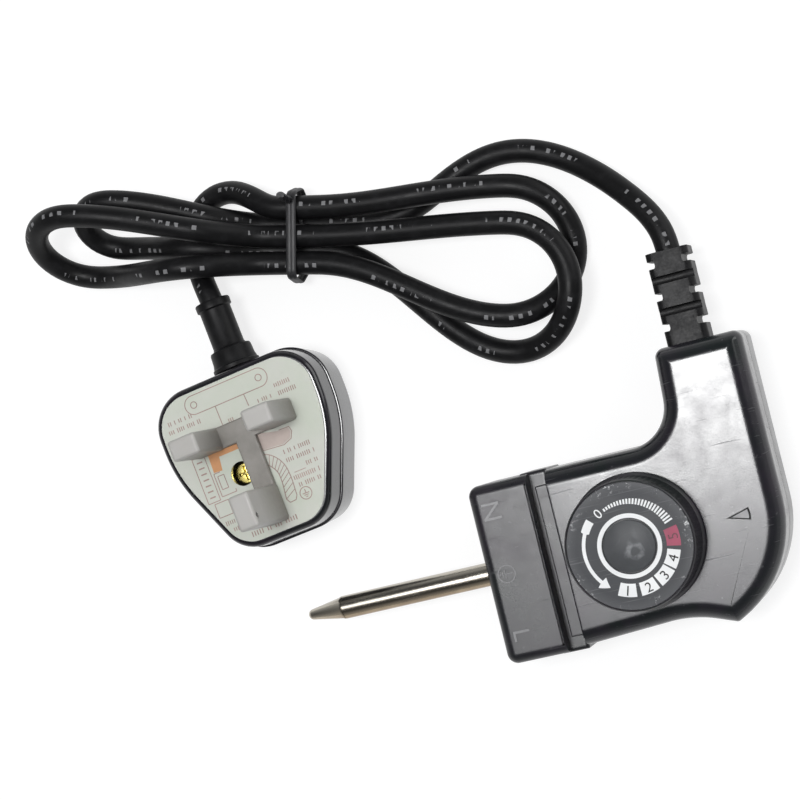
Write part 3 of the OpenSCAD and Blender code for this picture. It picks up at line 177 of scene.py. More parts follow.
SLEEVE = [
    (3.4, 13.15), (4.35, 13.15), (4.35, 14.95), (4.0, 14.95), (4.0, 17.45), (6.6, 17.45),
    (6.8, 17.65), (6.75, 18.6), (6.4, 18.9), (6.1, 20.2), (5.95, 22.8), (5.75, 23.35),
    (5.3, 23.5), (4.75, 23.7), (4.5, 24.3), (4.45, 35.0), (4.6, 35.2), (5.0, 35.4),
    (5.05, 37.1), (4.85, 37.5), (3.5, 37.5), (3.4, 37.4),
]

# The card's print, in the plug's own axes
PRINT = 0.04
CARD_SEED = 7
CLAMP_PLACES, CLAMP_X, CLAMP_R, CLAMP_HOLE = ((11.1, 90), (-9.1, -90)), 11.3, 2.6, 0.9
CLOSED_LINES = [
    [(-2.5, 17.4), (-2.5, 13.7), (-15.6, 13.7), (-15.6, 17.4)],
    [(-16.2, 15.8), (-16.2, 11.6), (-20.2, 11.6), (-20.2, 15.8)],
    [(-9.4, 12.1), (-13.2, 12.1), (-13.2, 10.2), (-9.4, 10.2)],
]
OPEN_LINES = [
    [(8.7, 11.1), (8.7, -9.1)],
    [(13.9, 11.1), (13.9, -9.1)],
    [(8.7, 5.4), (1.7, 5.3)],
    [(8.7, -3.5), (5.2, -3.7)],
    [(-8.4, 12.9), (-15, 12.9), (-15, 8.4), (-14.2, 8.4)],
    [(-8.4, 12.9), (-8.4, 11)],
    [
        (-2.1, -1.1), (-7.5, -1.6), (-8.3, -9.1), (-7.4, -11.6),
        (-5.6, -12.5), (-4.2, -12.2), (-4.1, -9.1),
    ],
]
WIRE_OUTER = [(-7.9, -1.6, 0), (-10.1, -5.1, 0), (-13.2, -7.1, 0), (-17, -7.6, 0), (-22.2, -7.3, 0)]
WIRE_INNER = [
    (-10.9, -1.4, 0), (-12.0, -3.0, 0), (-14.4, -4.5, 0), (-17.5, -4.7, 0), (-22.2, -4.1, 0),
]
WIRE_TIP = [(-23.3, -6.6), (-23.4, -4.8)]
EARTH = (-22.6, -9.9, 1.7)
EARTH_BARS = ((0, 1.0), (-0.5, 0.65), (-1.0, 0.3))
ARROW = [(-16.3, -9.0), (-16.3, -12.4)]
# Rows of dashes as place along the plug, start and end across it
ROWS = [
    (-10.1, -8.3, -16.6), (-12.5, -8.2, -17.3), (-15.1, -13.2, -17.4), (-17.7, -8.4, -17.0),
    (-19.9, -9.1, -16.4), (7.6, -12.6, -18.4), (5.4, -6.7, -11.6), (5.2, -13.0, -19.6),
    (8.9, 20.0, 11.6), (6.6, 20.6, 10.4), (-22.3, 14.6, 10.4), (-24.5, 13.0, 10.0),
    (3.5, 3.2, 0.2), (1.7, 3.2, -0.6),
]
LONG_ROW = (-27.6, 8.6, -6.0)
HATCHING = [
    (-2.3, -1.3), (-7.3, -1.8), (-8.0, -9.0), (-7.2, -11.3),
    (-5.6, -12.2), (-4.4, -11.9), (-4.3, -9.2), (-2.9, -3.8),
]
PATCH = [(-2.4, 12.5), (-8.1, 12.7), (-8.3, 10.1), (-4.5, 9.6), (-4.5, 3.2), (-1.9, 3.2)]

# The cord, and in the hank's own axes its four folds
CORD = 6.6
FACET = 0.06
HANK = (-34.0, 102.5, -14.0)
LEAD_ROUTE = [
    (65.2, 77.5, 12.7), (62, 84.5, 11), (54.5, 94, 7.2), (47, 101.2, 4.4), (40.2, 106, 3.4),
    (33.5, 109, 3.4), (26.5, 110.3, 3.4), (19.5, 109.7, 3.4), (12.5, 107.6, 3.4), (6, 104.8, 3.4),
    (-0.5, 102.2, 3.4), (-7, 101.1, 3.4), (-13.5, 101.5, 3.5), (-20, 102.8, 4),
]
TAIL_ROUTE = [
    (-44, 116.6, 8.9), (-49.8, 120, 6), (-56.3, 120.4, 4), (-61.7, 117.4, 3.5),
    (-64.4, 112.4, 3.5), (-65.3, 106.6, 4.2), (-64.7, 101, 6.9), (-62.9, 95.8, 10.4),
]
CREST = 30.5
RISE = 7.2
LIFT = 1.0
FOLD_REACH = [54, 60.5, 62, 60]
FOLD_MIDDLE = [4.2, -14.6, -2, -4.6]
FOLD_HALF = [6.4, 17.5, 8.4, 17.6]
WAIST_PLACE = [3.6, -3.6, 0.3, -7.2, 8.2]
WAIST_LAYERS = [0, 0, 0.9, 0.9, 0.9]
FOLD_LAYERS = [
    [1.2, 1.8, 0.9, 0, 1.25], [0, 0, 1.3, 1.15, 1.05],
    [2.45, 2.9, 1.45, 0, 2.35], [1.05, 0.9, 0, 0.7, 1.1],
]
TIE_GAP, TIE_SPREAD, TIE_CORNER = 0.2, 1.4, 2.2
TIE_OFF, TIE_THICK, TIE_WIDE, TIE_TURNS = 0.4, 0.38, 0.9, (-0.15, 0.9)
TAIL_R, TAIL_WIRE, TAIL_TALL, TAIL_TWIST = 0.55, 0.62, 11.4, 540.0

# The photograph's camera, and the stage
SENSOR, PHOTO_PIXELS, FOCAL_PIXELS = 36.0, 800, 2155
CAMERA_PLACE, CAMERA_ANGLES = (143.955, 32.937, 577.231), (-2.08365, 15.70083, -14.32675)
NEAREST = 0.01
SOFTBOX = ((-45, 95, 1000), (0, 0, 0), 0.26, 0.22, 4.6)
WINDOW = ((900, 500, 420), (66, 0, 119), 0.8, 0.8, 4.0)
ROOM, PANEL_WAY, PANEL_STRENGTH = (0.4, 0.405, 0.42), (-0.13, 0.03, 0.991), 14.0
WALL_STOPS = ((0.12, (0.55,) * 3), (0.7, (0.06,) * 3))
PANEL_STOPS = ((0.0, (1, 1, 1)), (0.13, (0.3, 0.3, 0.31)), (0.3, (0, 0, 0)))
FLOOR_HALF, FLOOR_LEVEL, FLOOR_GLOW = 1500.0, -0.05, 0.78
FLOOR_UNSEEN, FLOOR_SEEN = (0.8, 0.8, 0.8), (0.3, 0.3, 0.3)


# Shapes

def in_frame(x, y, z):
    """Place in the part's own frame, in metres of the shared frame."""
    return np.array([x, y, z]) * MM + ORIGIN


def turned(points, degrees, centre=(0.0, 0.0)):
    """Points turned about an upright axis: x cos a - y sin a and x sin a + y cos a, then moved."""
    p = np.array(points, float)
    a = math.radians(degrees)
    x = p[..., 0] * math.cos(a) - p[..., 1] * math.sin(a) + centre[0]
    y = p[..., 0] * math.sin(a) + p[..., 1] * math.cos(a) + centre[1]
    p[..., 0], p[..., 1] = x, y
    return p


def at_plug(points):
    """From the plug's own axes, x to the cord and y to the neutral pin, to the part's."""
    return turned(points, PLUG[2], PLUG[:2])


def at_hank(points):
    """From the hank's own axes, x along it, to the part's."""
    return turned(points, HANK[2], HANK[:2])


def stacked(*parts):
    """Coordinates put side by side after they are brought to one shape."""
    return np.stack(np.broadcast_arrays(*[np.asarray(p, float) for p in parts]), axis=-1)


def edge_normals(c):
    """Left normals of the edge that leaves each corner and of the one that comes to it."""
    way = np.roll(c[:, :2], -1, axis=0) - c[:, :2]
    way /= np.linalg.norm(way, axis=1)[:, None]
    after = stacked(-way[:, 1], way[:, 0])
    return after, np.roll(after, 1, axis=0)


def moved_in(corners, inset):
    """Corners of an outline moved in along the mean of their edges' normals, radii less by it."""
    c = np.array(corners, float)
    after, before = edge_normals(c)
    middle = (before + after) / (1 + (before * after).sum(axis=1))[:, None]
    return np.column_stack([c[:, :2] + inset * middle, c[:, 2] - inset])


def rounded(corners, inset=0.0, steps=STEPS):
    """Counterclockwise outline with round corners. Each edge line moves in by its own inset; an
    arc's centre lies a radius from both moved lines, and its points are centre - bend * radius *
    normal while the normal turns from one edge's to the next's."""
    c = np.array(corners, float)
    gap = np.broadcast_to(np.asarray(inset, float), (len(c),))
    after, before = edge_normals(c)
    gap_before = np.roll(gap, 1)
    cross = before[:, 0] * after[:, 1] - before[:, 1] * after[:, 0]
    bend = np.sign(cross)
    angle = np.arccos(np.clip((before * after).sum(axis=1), -1, 1))
    radius = np.maximum(c[:, 2] - bend * (gap + gap_before) / 2, LEAST)
    a = gap_before + bend * radius
    b = gap + bend * radius
    centre = c[:, :2] + stacked(
        (a * after[:, 1] - b * before[:, 1]) / cross, (b * before[:, 0] - a * after[:, 0]) / cross
    )
    heading = np.arctan2(before[:, 1], before[:, 0])[:, None]
    heading = heading + (bend * angle)[:, None] * np.linspace(0, 1, steps + 1)
    normal = stacked(np.cos(heading), np.sin(heading))
    return (centre[:, None] - (bend * radius)[:, None, None] * normal).reshape(-1, 2)


def edge_inset(z, low, high, low_r, high_r):
    """How far a rounded edge lies inside the wall at a height: r - sqrt(r² - d²), where d is how
    far the height is into the rounding."""
    up = np.clip(z - (high - high_r), 0, high_r)
    down = np.clip(low + low_r - z, 0, low_r)
    return high_r - np.sqrt(high_r**2 - up**2) + low_r - np.sqrt(low_r**2 - down**2)


def edge_heights(low, high, low_rs, high_rs):
    """Heights at even angles of every rounding, and a level beside each larger one."""
    lift = np.sin(np.linspace(0, math.pi / 2, STEPS + 1))
    levels = [low + r * (1 - lift) for r in low_rs] + [high - r * (1 - lift) for r in high_rs]
    levels += [[low + r + LEAST] for r in low_rs if r > LEAST]
    levels += [[high - r - LEAST] for r in high_rs if r > LEAST]
    return np.unique(np.round(np.concatenate([np.clip(h, low, high) for h in levels]), 4))


class Skin:
    """Grids and plates of points, in millimetres, gathered into one mesh."""

    def __init__(self, place=None):
        self.place, self.points, self.faces, self.uvs, self.total = place, [], [], [], 0

    def add(self, points, faces, uvs=None):
        """Points with faces that count from the first of them."""
        points = np.asarray(points, float).reshape(-1, 3)
        self.points.append(self.place(points) if self.place else points)
        self.faces += [[i + self.total for i in face] for face in faces]
        self.uvs.append((faces, uvs))
        self.total += len(points)
        return self

    def grid(self, points, round_rows=False, round_columns=True, ends=True, uv=None):
        """Four-sided faces between neighbours of a grid of points. Rows and columns join up again
        where they are round, and the first and last row are closed with one flat face each."""
        m, n = points.shape[:2]
        index = np.arange(m * n).reshape(m, n)
        if round_rows:
            index = np.vstack([index, index[:1]])
        if round_columns:
            index = np.hstack([index, index[:, :1]])

        def squares(a):
            return np.stack([a[:-1, :-1], a[:-1, 1:], a[1:, 1:], a[1:, :-1]], axis=2)

        faces = squares(index).reshape(-1, 4).tolist()
        marks = None if uv is None else squares(uv).reshape(-1, 2)
        if ends and not round_rows:
            faces += [index[0, :n][::-1].tolist(), index[-1, :n].tolist()]
            if uv is not None:
                marks = np.vstack([marks, np.zeros((2 * n, 2))])
        return self.add(points, faces, marks)

    def slab(self, corners, low, high, low_r=LEAST, high_r=LEAST, steps=STEPS, draft=0.0):
        """Upright solid on a rounded outline: the outline's inset at each height is that of its
        rounded edges, which may differ from edge to edge, and of a draft that grows with height."""
        low_rs = np.atleast_1d(low_r).astype(float)
        high_rs = np.atleast_1d(high_r).astype(float)
        z = edge_heights(low, high, np.unique(low_rs), np.unique(high_rs))
        lean = draft * (z - low) / (high - low)
        insets = [edge_inset(h, low, high, low_rs, high_rs) + s for h, s in zip(z, lean)]
        return self.rings(corners, insets, z, steps, LEAST)

    def rings(self, corners, insets, z, steps, cap):
        """Solid from one outline at several insets and heights, with a flat rim at both ends."""
        insets = [insets[0] + cap, *insets, insets[-1] + cap]
        z = np.concatenate([z[:1], z, z[-1:]])
        return self.grid(np.stack([
            stacked(*rounded(corners, inset, steps).T, h) for inset, h in zip(insets, z)
        ]))

    def box(self, low, high, r=LEAST, **more):
        """Upright solid on a rectangle with rounded edges."""
        around = ((low[0], low[1]), (high[0], low[1]), (high[0], high[1]), (low[0], high[1]))
        return self.slab([(x, y, r) for x, y in around], low[2], high[2], **more)

    def turn(self, profile, centre, axis="z", sides=64, ridges=0, depth=0.0, closed=False):
        """Surface of revolution: at angle a a profile's point (r, h) lies at r cos a, r sin a and
        h. Ridges draw r in by depth * (1 - cos(ridges a)) / 2 where its third value is 1."""
        p = np.array(profile, float)
        a = np.arange(sides) * 2 * math.pi / sides
        draw = depth * (1 - np.cos(ridges * a)) / 2
        r = p[:, :1] - (p[:, 2:3] * draw if p.shape[1] > 2 else 0)
        around = stacked(r * np.cos(a), r * np.sin(a), p[:, 1:2] + 0 * a)
        order = {"z": [0, 1, 2], "x": [2, 0, 1], "y": [1, 2, 0]}[axis]
        placed = around[..., order] + np.array(centre, float)
        return self.grid(placed, round_rows=closed, ends=not closed)

    def rod(self, r, low, high, centre=(0, 0, 0), axis="z", sides=48):
        """Round bar or bore between two levels."""
        return self.turn([(r, low), (r, high)], centre, axis, sides)

    def strip(self, path, half, low, high, closed=False):
        """Flat band of a width along a line: each point moves left and right by half the width
        along the line's mean normal, at a low and a high level."""
        p = np.array(path, float)
        way = np.gradient(p, axis=0)
        if closed:
            way = np.roll(p, -1, axis=0) - np.roll(p, 1, axis=0)
        way /= np.linalg.norm(way, axis=1)[:, None]
        side = stacked(-way[:, 1], way[:, 0]) * np.broadcast_to(half, (len(p),))[:, None]
        section = [(p + side, high), (p - side, high), (p - side, low), (p + side, low)]
        rows = np.stack([stacked(q[:, 0], q[:, 1], h) for q, h in section], axis=1)
        return self.grid(rows, round_rows=closed, ends=not closed)

    def trace(self, points, half, low, high, closed=False):
        """Straight bands from point to point."""
        path = np.array(points, float)
        for pair in zip(path, np.roll(path, -1, axis=0) if closed else path[1:]):
            self.strip(pair, half, low, high)
        return self

    def arc(self, centre, r, half, start, end, low, high, steps=48):
        """Band along a circle from one angle to another, both in degrees."""
        a = np.radians(np.linspace(start, end, steps + 1))
        whole = abs(end - start) >= 360
        path = stacked(centre[0] + r * np.cos(a), centre[1] + r * np.sin(a))
        return self.strip(path[:-1] if whole else path, half, low, high, closed=whole)

    def plate(self, outline, low, high):
        """Flat plate: one outline at two levels."""
        p = np.array(outline, float)
        return self.grid(np.stack([stacked(p[:, 0], p[:, 1], h) for h in (low, high)]))

    def letter(self, sign, centre, height, degrees, low, high):
        """Sign of the built-in font as a thin solid, its middle on the centre."""
        curve = bpy.data.curves.new("sign", "FONT")
        curve.body, curve.size, curve.extrude = sign, 1.0, 0.5
        made = bpy.data.objects.new("sign", curve)
        mesh = settled(made)
        p = np.zeros(3 * len(mesh.vertices))
        mesh.vertices.foreach_get("co", p)
        p = p.reshape(-1, 3)
        faces = [list(face.vertices) for face in mesh.polygons]
        bpy.data.objects.remove(made)
        bpy.data.curves.remove(curve)
        bpy.data.meshes.remove(mesh)
        least, most = p.min(axis=0), p.max(axis=0)
        p = (p - (least + most) / 2) * height / (most[1] - least[1])
        p[:, 2] = np.where(p[:, 2] > 0, high, low)
        return self.add(turned(p, degrees, centre), faces)

    def mesh(self, name, weld=True):
        """The gathered grids as a mesh in metres, at their place in the frame."""
        mesh = bpy.data.meshes.new(name)
        mesh.from_pydata((np.concatenate(self.points) * MM + ORIGIN).tolist(), [], self.faces)
        if any(uvs is not None for _, uvs in self.uvs):
            flat = [
                np.zeros((sum(map(len, faces)), 2)) if uvs is None else uvs
                for faces, uvs in self.uvs
            ]
            layer = mesh.uv_layers.new(name="lay")
            layer.data.foreach_set("uv", np.concatenate(flat).ravel())
        if weld:
            shape = bmesh.new()
            shape.from_mesh(mesh)
            bmesh.ops.remove_doubles(shape, verts=shape.verts, dist=WELD)
            shape.to_mesh(mesh)
            shape.free()
        return mesh


def settled(made):
    """An object's mesh with its modifiers applied; the object is linked for it."""
    bpy.context.scene.collection.objects.link(made)
    graph = bpy.context.evaluated_depsgraph_get()
    return bpy.data.meshes.new_from_object(made.evaluated_get(graph))


def joined(name, skin, *tools):
    """A skin's mesh after booleans with other skins, each given as (operation, skin)."""
    body = bpy.data.objects.new(name, skin.mesh(name))
    helpers = []
    for operation, tool in tools:
        helper = bpy.data.objects.new(name + "_tool", tool.mesh(name + "_tool"))
        bpy.context.scene.collection.objects.link(helper)
        modifier = body.modifiers.new(operation, "BOOLEAN")
        modifier.operation, modifier.solver, modifier.object = operation, "MANIFOLD", helper
        helpers.append(helper)
    mesh = settled(body)
    for made in helpers + [body]:
        old = made.data
        bpy.data.objects.remove(made)
        bpy.data.meshes.remove(old)
    return mesh


def piece(name, shape, finish, body, slot, *nodes, sharp=35.0, bevel=0.0):
    """Puts a mesh or skin into the scene as a piece that rides on a body and stands for nodes."""
    mesh = shape.mesh(name) if isinstance(shape, Skin) else shape
    mesh.name = name
    mesh.shade_smooth()
    mesh.set_sharp_from_angle(angle=math.radians(sharp))
    mesh.materials.clear()
    mesh.materials.append(FINISHES[finish])
    made = bpy.data.objects.new(name, mesh)
    bpy.context.scene.collection.objects.link(made)
    if bevel:
        modifier = made.modifiers.new("edges", "BEVEL")
        modifier.width, modifier.segments = bevel * MM, 2
        modifier.limit_method, modifier.angle_limit = "ANGLE", math.radians(sharp)
        modifier.harden_normals = True
    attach(made, body)
    if nodes:
        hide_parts(*nodes)


# The cord's way

def eased(a, b, s):
    """Cosine step from a to b: a + (b - a) (1 - cos(pi s)) / 2."""
    return a + (b - a) * (1 - np.cos(math.pi * s)) / 2


def through(points, steps):
    """Smooth line through points: each stretch is the Catmull-Rom cubic of its four neighbours."""
    p = np.array(points, float)
    p = np.vstack([2 * p[0] - p[1], p, 2 * p[-1] - p[-2]])
    t = (np.arange(steps) / steps)[None, :, None]
    a, b, c, d = (p[i : len(p) - 3 + i, None] for i in range(4))
    rows = 2 * b + (c - a) * t + (2 * a - 5 * b + 4 * c - d) * t**2 + (3 * b - a - 3 * c + d) * t**3
    return np.vstack([rows.reshape(-1, 3) / 2, p[-2:-1]])


def lengths(path):
    """How far along a line each of its points is."""
    steps = np.linalg.norm(np.diff(path, axis=0), axis=1)
    return np.concatenate([[0], np.cumsum(steps)])


def waist(i, x=0.0):
    """Place where the cord passes the tie for the i-th time."""
    return (x, WAIST_PLACE[i], CORD / 2 + LIFT + RISE * WAIST_LAYERS[i])


def fold(j, steps):
    """One fold of the hank: a run out, half a circle about the fold's middle line, and a run back.
    Runs swing from the tie to the fold and rise to a crest by cosine steps."""
    side = -1 if j % 2 == 0 else 1
    reach, middle, half = FOLD_REACH[j], FOLD_MIDDLE[j], FOLD_HALF[j]
    levels = CORD / 2 + RISE * np.array(FOLD_LAYERS[j])

    def run(x, start, crest_z, end, end_z):
        past = np.maximum(0, (x - CORD) / (reach - CORD))
        near = eased(start[2], crest_z, np.maximum(0, (x - CORD) / (CREST - CORD)))
        far = eased(crest_z, end_z, (x - CREST) / (reach - CREST))
        return stacked(side * x, eased(start[1], end, past), np.where(x < CREST, near, far))

    s = np.arange(steps) / steps
    a = math.pi * s
    if side > 0:
        radius = half
        height = np.where(
            s < 0.5, eased(levels[1], levels[2], 2 * s), eased(levels[2], levels[3], 2 * s - 1)
        )
    else:
        radius = math.hypot(half, (levels[1] - levels[3]) / 2)
        height = (levels[1] * (1 + np.cos(a)) + levels[3] * (1 - np.cos(a))) / 2
    end = stacked(side * (reach + radius * np.sin(a)), middle - side * half * np.cos(a), height)
    way_out = run(s * reach, waist(j), levels[0], middle - side * half, levels[1])
    way_back = run((1 - s) * reach, waist(j + 1), levels[4], middle + side * half, levels[3])
    return np.vstack([way_out, end, way_back])


def cord_path(spacing, steps=24):
    """The whole lead from inside the handle through the hank into the plug, at even spacing. Each
    point is then drawn to its neighbours' mean a few times, which rounds the joints."""
    last = len(FOLD_REACH)
    tie, off = at_hank([waist(0, CORD), waist(0)]), at_hank([waist(last), waist(last, -CORD)])
    sleeve = at_plug([(37.5, 0, CORD_EXIT), (6, 0, CORD_EXIT)])
    lead = through([(RELIEF[0], RELIEF[2], AXIS)] + LEAD_ROUTE + tie.tolist(), steps)
    tail = through(off.tolist() + TAIL_ROUTE + sleeve[:1].tolist(), steps)
    hank = at_hank(np.vstack([fold(j, 3 * steps) for j in range(last)]))
    rough = np.vstack([[(RELIEF[0], 38, AXIS)], lead[:-1], hank, tail, sleeve[1:]])
    along = lengths(rough)
    even = np.linspace(0, along[-1], int(along[-1] / spacing) + 1)
    path = np.stack([np.interp(even, along, rough[:, k]) for k in range(3)], axis=1)
    for _ in range(4):
        path[1:-1] = (path[:-2] + 2 * path[1:-1] + path[2:]) / 4
    return path


def tube(path, r, sides):
    """Tube: each ring is path + r (side cos a + up sin a), where side is level and square to the
    path and up is square to both. The map runs along in metres and around from 0 to 1."""
    way = np.gradient(path, axis=0)
    way /= np.linalg.norm(way, axis=1)[:, None]
    side = np.cross(way, [0, 0, 1])
    side /= np.linalg.norm(side, axis=1)[:, None]
    up = np.cross(side, way)
    a = (np.arange(sides) * 2 * math.pi / sides)[None, :, None]
    ring = side[:, None] * np.cos(a) + up[:, None] * np.sin(a)
    uv = stacked(lengths(path)[:, None] * MM, np.linspace(0, 1, sides + 1)[None])
    return Skin().grid(path[:, None] + r * ring[:, ::-1], uv=uv)


# Materials

FINISHES = {}


class Ink:
    """A value in a node tree; arithmetic on it adds Math nodes."""

    def __init__(self, tree, socket):
        self.tree, self.socket = tree, socket

    def __add__(self, other):
        return self.tree.math("ADD", self, other)

    def __sub__(self, other):
        return self.tree.math("SUBTRACT", self, other)

    def __rsub__(self, other):
        return self.tree.math("SUBTRACT", other, self)

    def __mul__(self, other):
        return self.tree.math("MULTIPLY", self, other)

    def __mod__(self, other):
        return self.tree.math("FLOORED_MODULO", self, other)

    def __lt__(self, other):
        return self.tree.math("LESS_THAN", self, other)

    def __gt__(self, other):
        return self.tree.math("GREATER_THAN", self, other)

    def over(self, low, high):
        """Its place between two limits, held to 0 and 1."""
        return self.tree.math("MULTIPLY", self - low, 1 / (high - low), clamp=True)

    __radd__ = __add__
    __rmul__ = __mul__


class Tree:
    """Node tree of a material or a world; one method adds every node."""

    def __init__(self, owner):
        owner.use_nodes = True
        self.tree = owner.node_tree
        self.tree.nodes.clear()

    def node(self, kind, settings=None, sockets=None, output=0):
        """Adds a node: its settings, then the values or links of its sockets; gives one output."""
        made = self.tree.nodes.new(kind)
        for key, value in (settings or {}).items():
            if key == "stops":
                stops = made.color_ramp.elements
                for k, (place, colour) in enumerate(value):
                    stop = stops[k] if k < len(stops) else stops.new(place)
                    stop.position, stop.color = place, (*colour, 1.0)
            else:
                setattr(made, key, value)
        for key, value in (sockets or {}).items():
            socket = made.inputs[key]
            if isinstance(value, Ink):
                self.tree.links.new(value.socket, socket)
            elif socket.type == "RGBA" and len(value) == 3:
                socket.default_value = (*value, 1.0)
            else:
                socket.default_value = value
        return Ink(self, made.outputs[output]) if made.outputs else None

    def math(self, operation, a, b, clamp=False):
        """Math node on two values or numbers."""
        settings = {"operation": operation, "use_clamp": clamp}
        return self.node("ShaderNodeMath", settings, {0: a, 1: b})

    def ramp(self, factor, stops):
        """Colour from a ramp of (place, colour) stops."""
        return self.node("ShaderNodeValToRGB", {"stops": stops}, {"Fac": factor})

    def part(self, vector, axis):
        """One coordinate of a vector, x as 0, y as 1 or z as 2."""
        return self.node("ShaderNodeSeparateXYZ", None, {"Vector": vector}, axis)

    def ray(self, *kinds):
        """1 for rays of any of some kinds."""
        value = self.node("ShaderNodeLightPath", output=f"Is {kinds[0]} Ray")
        return self.math("MAXIMUM", value, self.ray(*kinds[1:])) if kinds[1:] else value

    def blend(self, factor, a, b):
        """One shader over another."""
        return self.node("ShaderNodeMixShader", None, {0: factor, 1: a, 2: b})

    def total(self, a, b):
        """Two shaders added."""
        return self.node("ShaderNodeAddShader", None, {0: a, 1: b})


class Finish(Tree):
    """One material: a Principled surface whose sockets take numbers, colours or values."""

    def __init__(self, name):
        FINISHES[name] = bpy.data.materials.new(name)
        super().__init__(FINISHES[name])
        self.place = self.node("ShaderNodeTexCoord", output="Object")

    def noise(self, scale, detail=3.0, rough=0.5, twist=0.0, vector=None):
        """Noise with so many swings to a metre."""
        sockets = {"Scale": scale, "Detail": detail, "Roughness": rough, "Distortion": twist}
        sockets["Vector"] = vector or self.place
        return self.node("ShaderNodeTexNoise", None, sockets)

    def stretched(self, scale, degrees=0.0, vector=None):
        """Coordinates turned about z and stretched, for marks that run one way."""
        sockets = {"Vector": vector or self.place, "Scale": scale}
        sockets["Rotation"] = (0.0, 0.0, math.radians(degrees))
        return self.node("ShaderNodeMapping", None, sockets)

    def centred(self, x, y):
        """Coordinates whose middle is a place on the part."""
        x, y, _ = in_frame(x, y, 0)
        sockets = {"Vector": self.place, "Location": (-x, -y, 0.0)}
        return self.node("ShaderNodeMapping", None, sockets)

    def reach(self, vector):
        """Level distance from the coordinates' middle."""
        level = {0: vector, 1: (1.0, 1.0, 0.0)}
        flat = self.node("ShaderNodeVectorMath", {"operation": "MULTIPLY"}, level)
        return self.node("ShaderNodeVectorMath", {"operation": "LENGTH"}, {0: flat}, "Value")

    def mix(self, factor, a, b):
        """Colour between two colours."""
        return self.node("ShaderNodeMix", {"data_type": "RGBA"}, {0: factor, 6: a, 7: b}, 2)

    def bump(self, height, distance):
        """Normal from a height in parts of a distance given in millimetres."""
        return self.node("ShaderNodeBump", None, {"Height": height, "Distance": distance * MM})

    def done(self, **sockets):
        """Makes the surface from its sockets, named with low lines for blanks."""
        named = {
            key.replace("_", " ").title().replace("Ior", "IOR"): value
            for key, value in sockets.items()
        }
        surface = self.node("ShaderNodeBsdfPrincipled", None, named)
        self.node("ShaderNodeOutputMaterial", None, {0: surface})


def shade(colour, *by):
    """Colour times one number, or times one number for each channel."""
    return tuple(np.array(colour) * (by if len(by) > 1 else by[0]))


def moulded(name, colour, rough, swing, coat=0.0, grain=0.02):
    """Moulded plastic: cloudy smudges in gloss, tiny pits, hairline scratches and faint tints."""
    f = Finish(name)
    cloud = f.noise(70, 4, 0.6, 0.6)
    smudge = f.noise(260, 5, 0.65)
    scratch = f.noise(300, 2, 0.5, 0.0, f.stretched((0.2, 6.0, 1.0), 35)).over(0.66, 0.72)
    pits = f.noise(2600, 2, 0.5)
    speck = f.noise(900, 1, 0.3).over(0.74, 0.78)
    tint = f.mix(
        cloud.over(0.35, 0.65), shade(colour, 0.8, 1, 0.92), shade(colour, 1.2, 0.98, 1.25)
    )
    pale = tuple(c * 3 + 0.02 for c in colour)
    f.done(
        base_color=f.mix(speck * 0.6 + scratch * 0.4, tint, pale),
        roughness=rough + (cloud - 0.5) * swing + (smudge - 0.5) * swing + scratch * 0.15,
        normal=f.bump(cloud * 0.3 + smudge * 0.1 + pits * 0.25 + scratch * 0.05, grain),
        coat_weight=coat,
        coat_roughness=0.08,
    )


def metal(name, colour, dark, rough, scale=(0.3, 8.0, 8.0), tarnish=0.25):
    """Metal with drawn lines along the piece, duller where it has tarnished."""
    f = Finish(name)
    lines = f.noise(400, 3, 0.6, 0.0, f.stretched(scale))
    stain = f.noise(120, 4, 0.6, 0.4)
    f.done(
        base_color=f.mix(stain.over(0.45, 0.75) * tarnish + lines * 0.12, colour, dark),
        metallic=1.0,
        roughness=rough + (lines - 0.5) * 0.12 + stain.over(0.5, 0.8) * 0.12,
        normal=f.bump(lines, 0.004),
    )


def plain(name, colour, rough, spread=0.18, scale=500, shine=0.5):
    """Dull surface: colour that varies a little, and a fine grain."""
    f = Finish(name)
    wide, fine = f.noise(110, 4, 0.55), f.noise(scale, 3, 0.6)
    light = tuple(np.minimum(shade(colour, 1 + spread), 1.0))
    f.done(
        base_color=f.mix(
            wide.over(0.3, 0.7) * 0.7 + fine * 0.3, shade(colour, 1 - spread), light
        ),
        roughness=rough + (fine - 0.5) * 0.2,
        normal=f.bump(fine, 0.02),
        specular_ior_level=shine,
    )


def rubber(name, colour, printed):
    """Cord jacket: satin rubber with faint dust and a broken line of grey print along it."""
    f = Finish(name)
    fine, dust = f.noise(1500, 2, 0.5), f.noise(220, 5, 0.7)
    dusty = tuple(c * 2 + add for c, add in zip(colour, (0.008, 0.008, 0.009)))
    base = f.mix(dust.over(0.5, 0.75) * 0.5, colour, dusty)
    if printed:
        lay = f.node("ShaderNodeUVMap", {"uv_map": "lay"})
        along, around = f.part(lay, 0), f.part(lay, 1)
        band = (around > 0.715) * (around < 0.775)
        gaps = f.noise(420, 0, 0.5, 0.0, f.stretched((1.0, 0.01, 0.01), 0, lay)).over(0.5, 0.54)
        tick = ((along % 0.0022) < 0.0011) * gaps
        word = (along % 0.034) < 0.021
        base = f.mix(band * tick * word * 0.45, base, (0.42, 0.42, 0.43))
    f.done(
        base_color=base,
        roughness=0.42 + (fine - 0.5) * 0.15 + dust.over(0.45, 0.7) * 0.12,
        normal=f.bump(fine * 0.5 + dust * 0.5, 0.02),
        specular_ior_level=0.18,
    )


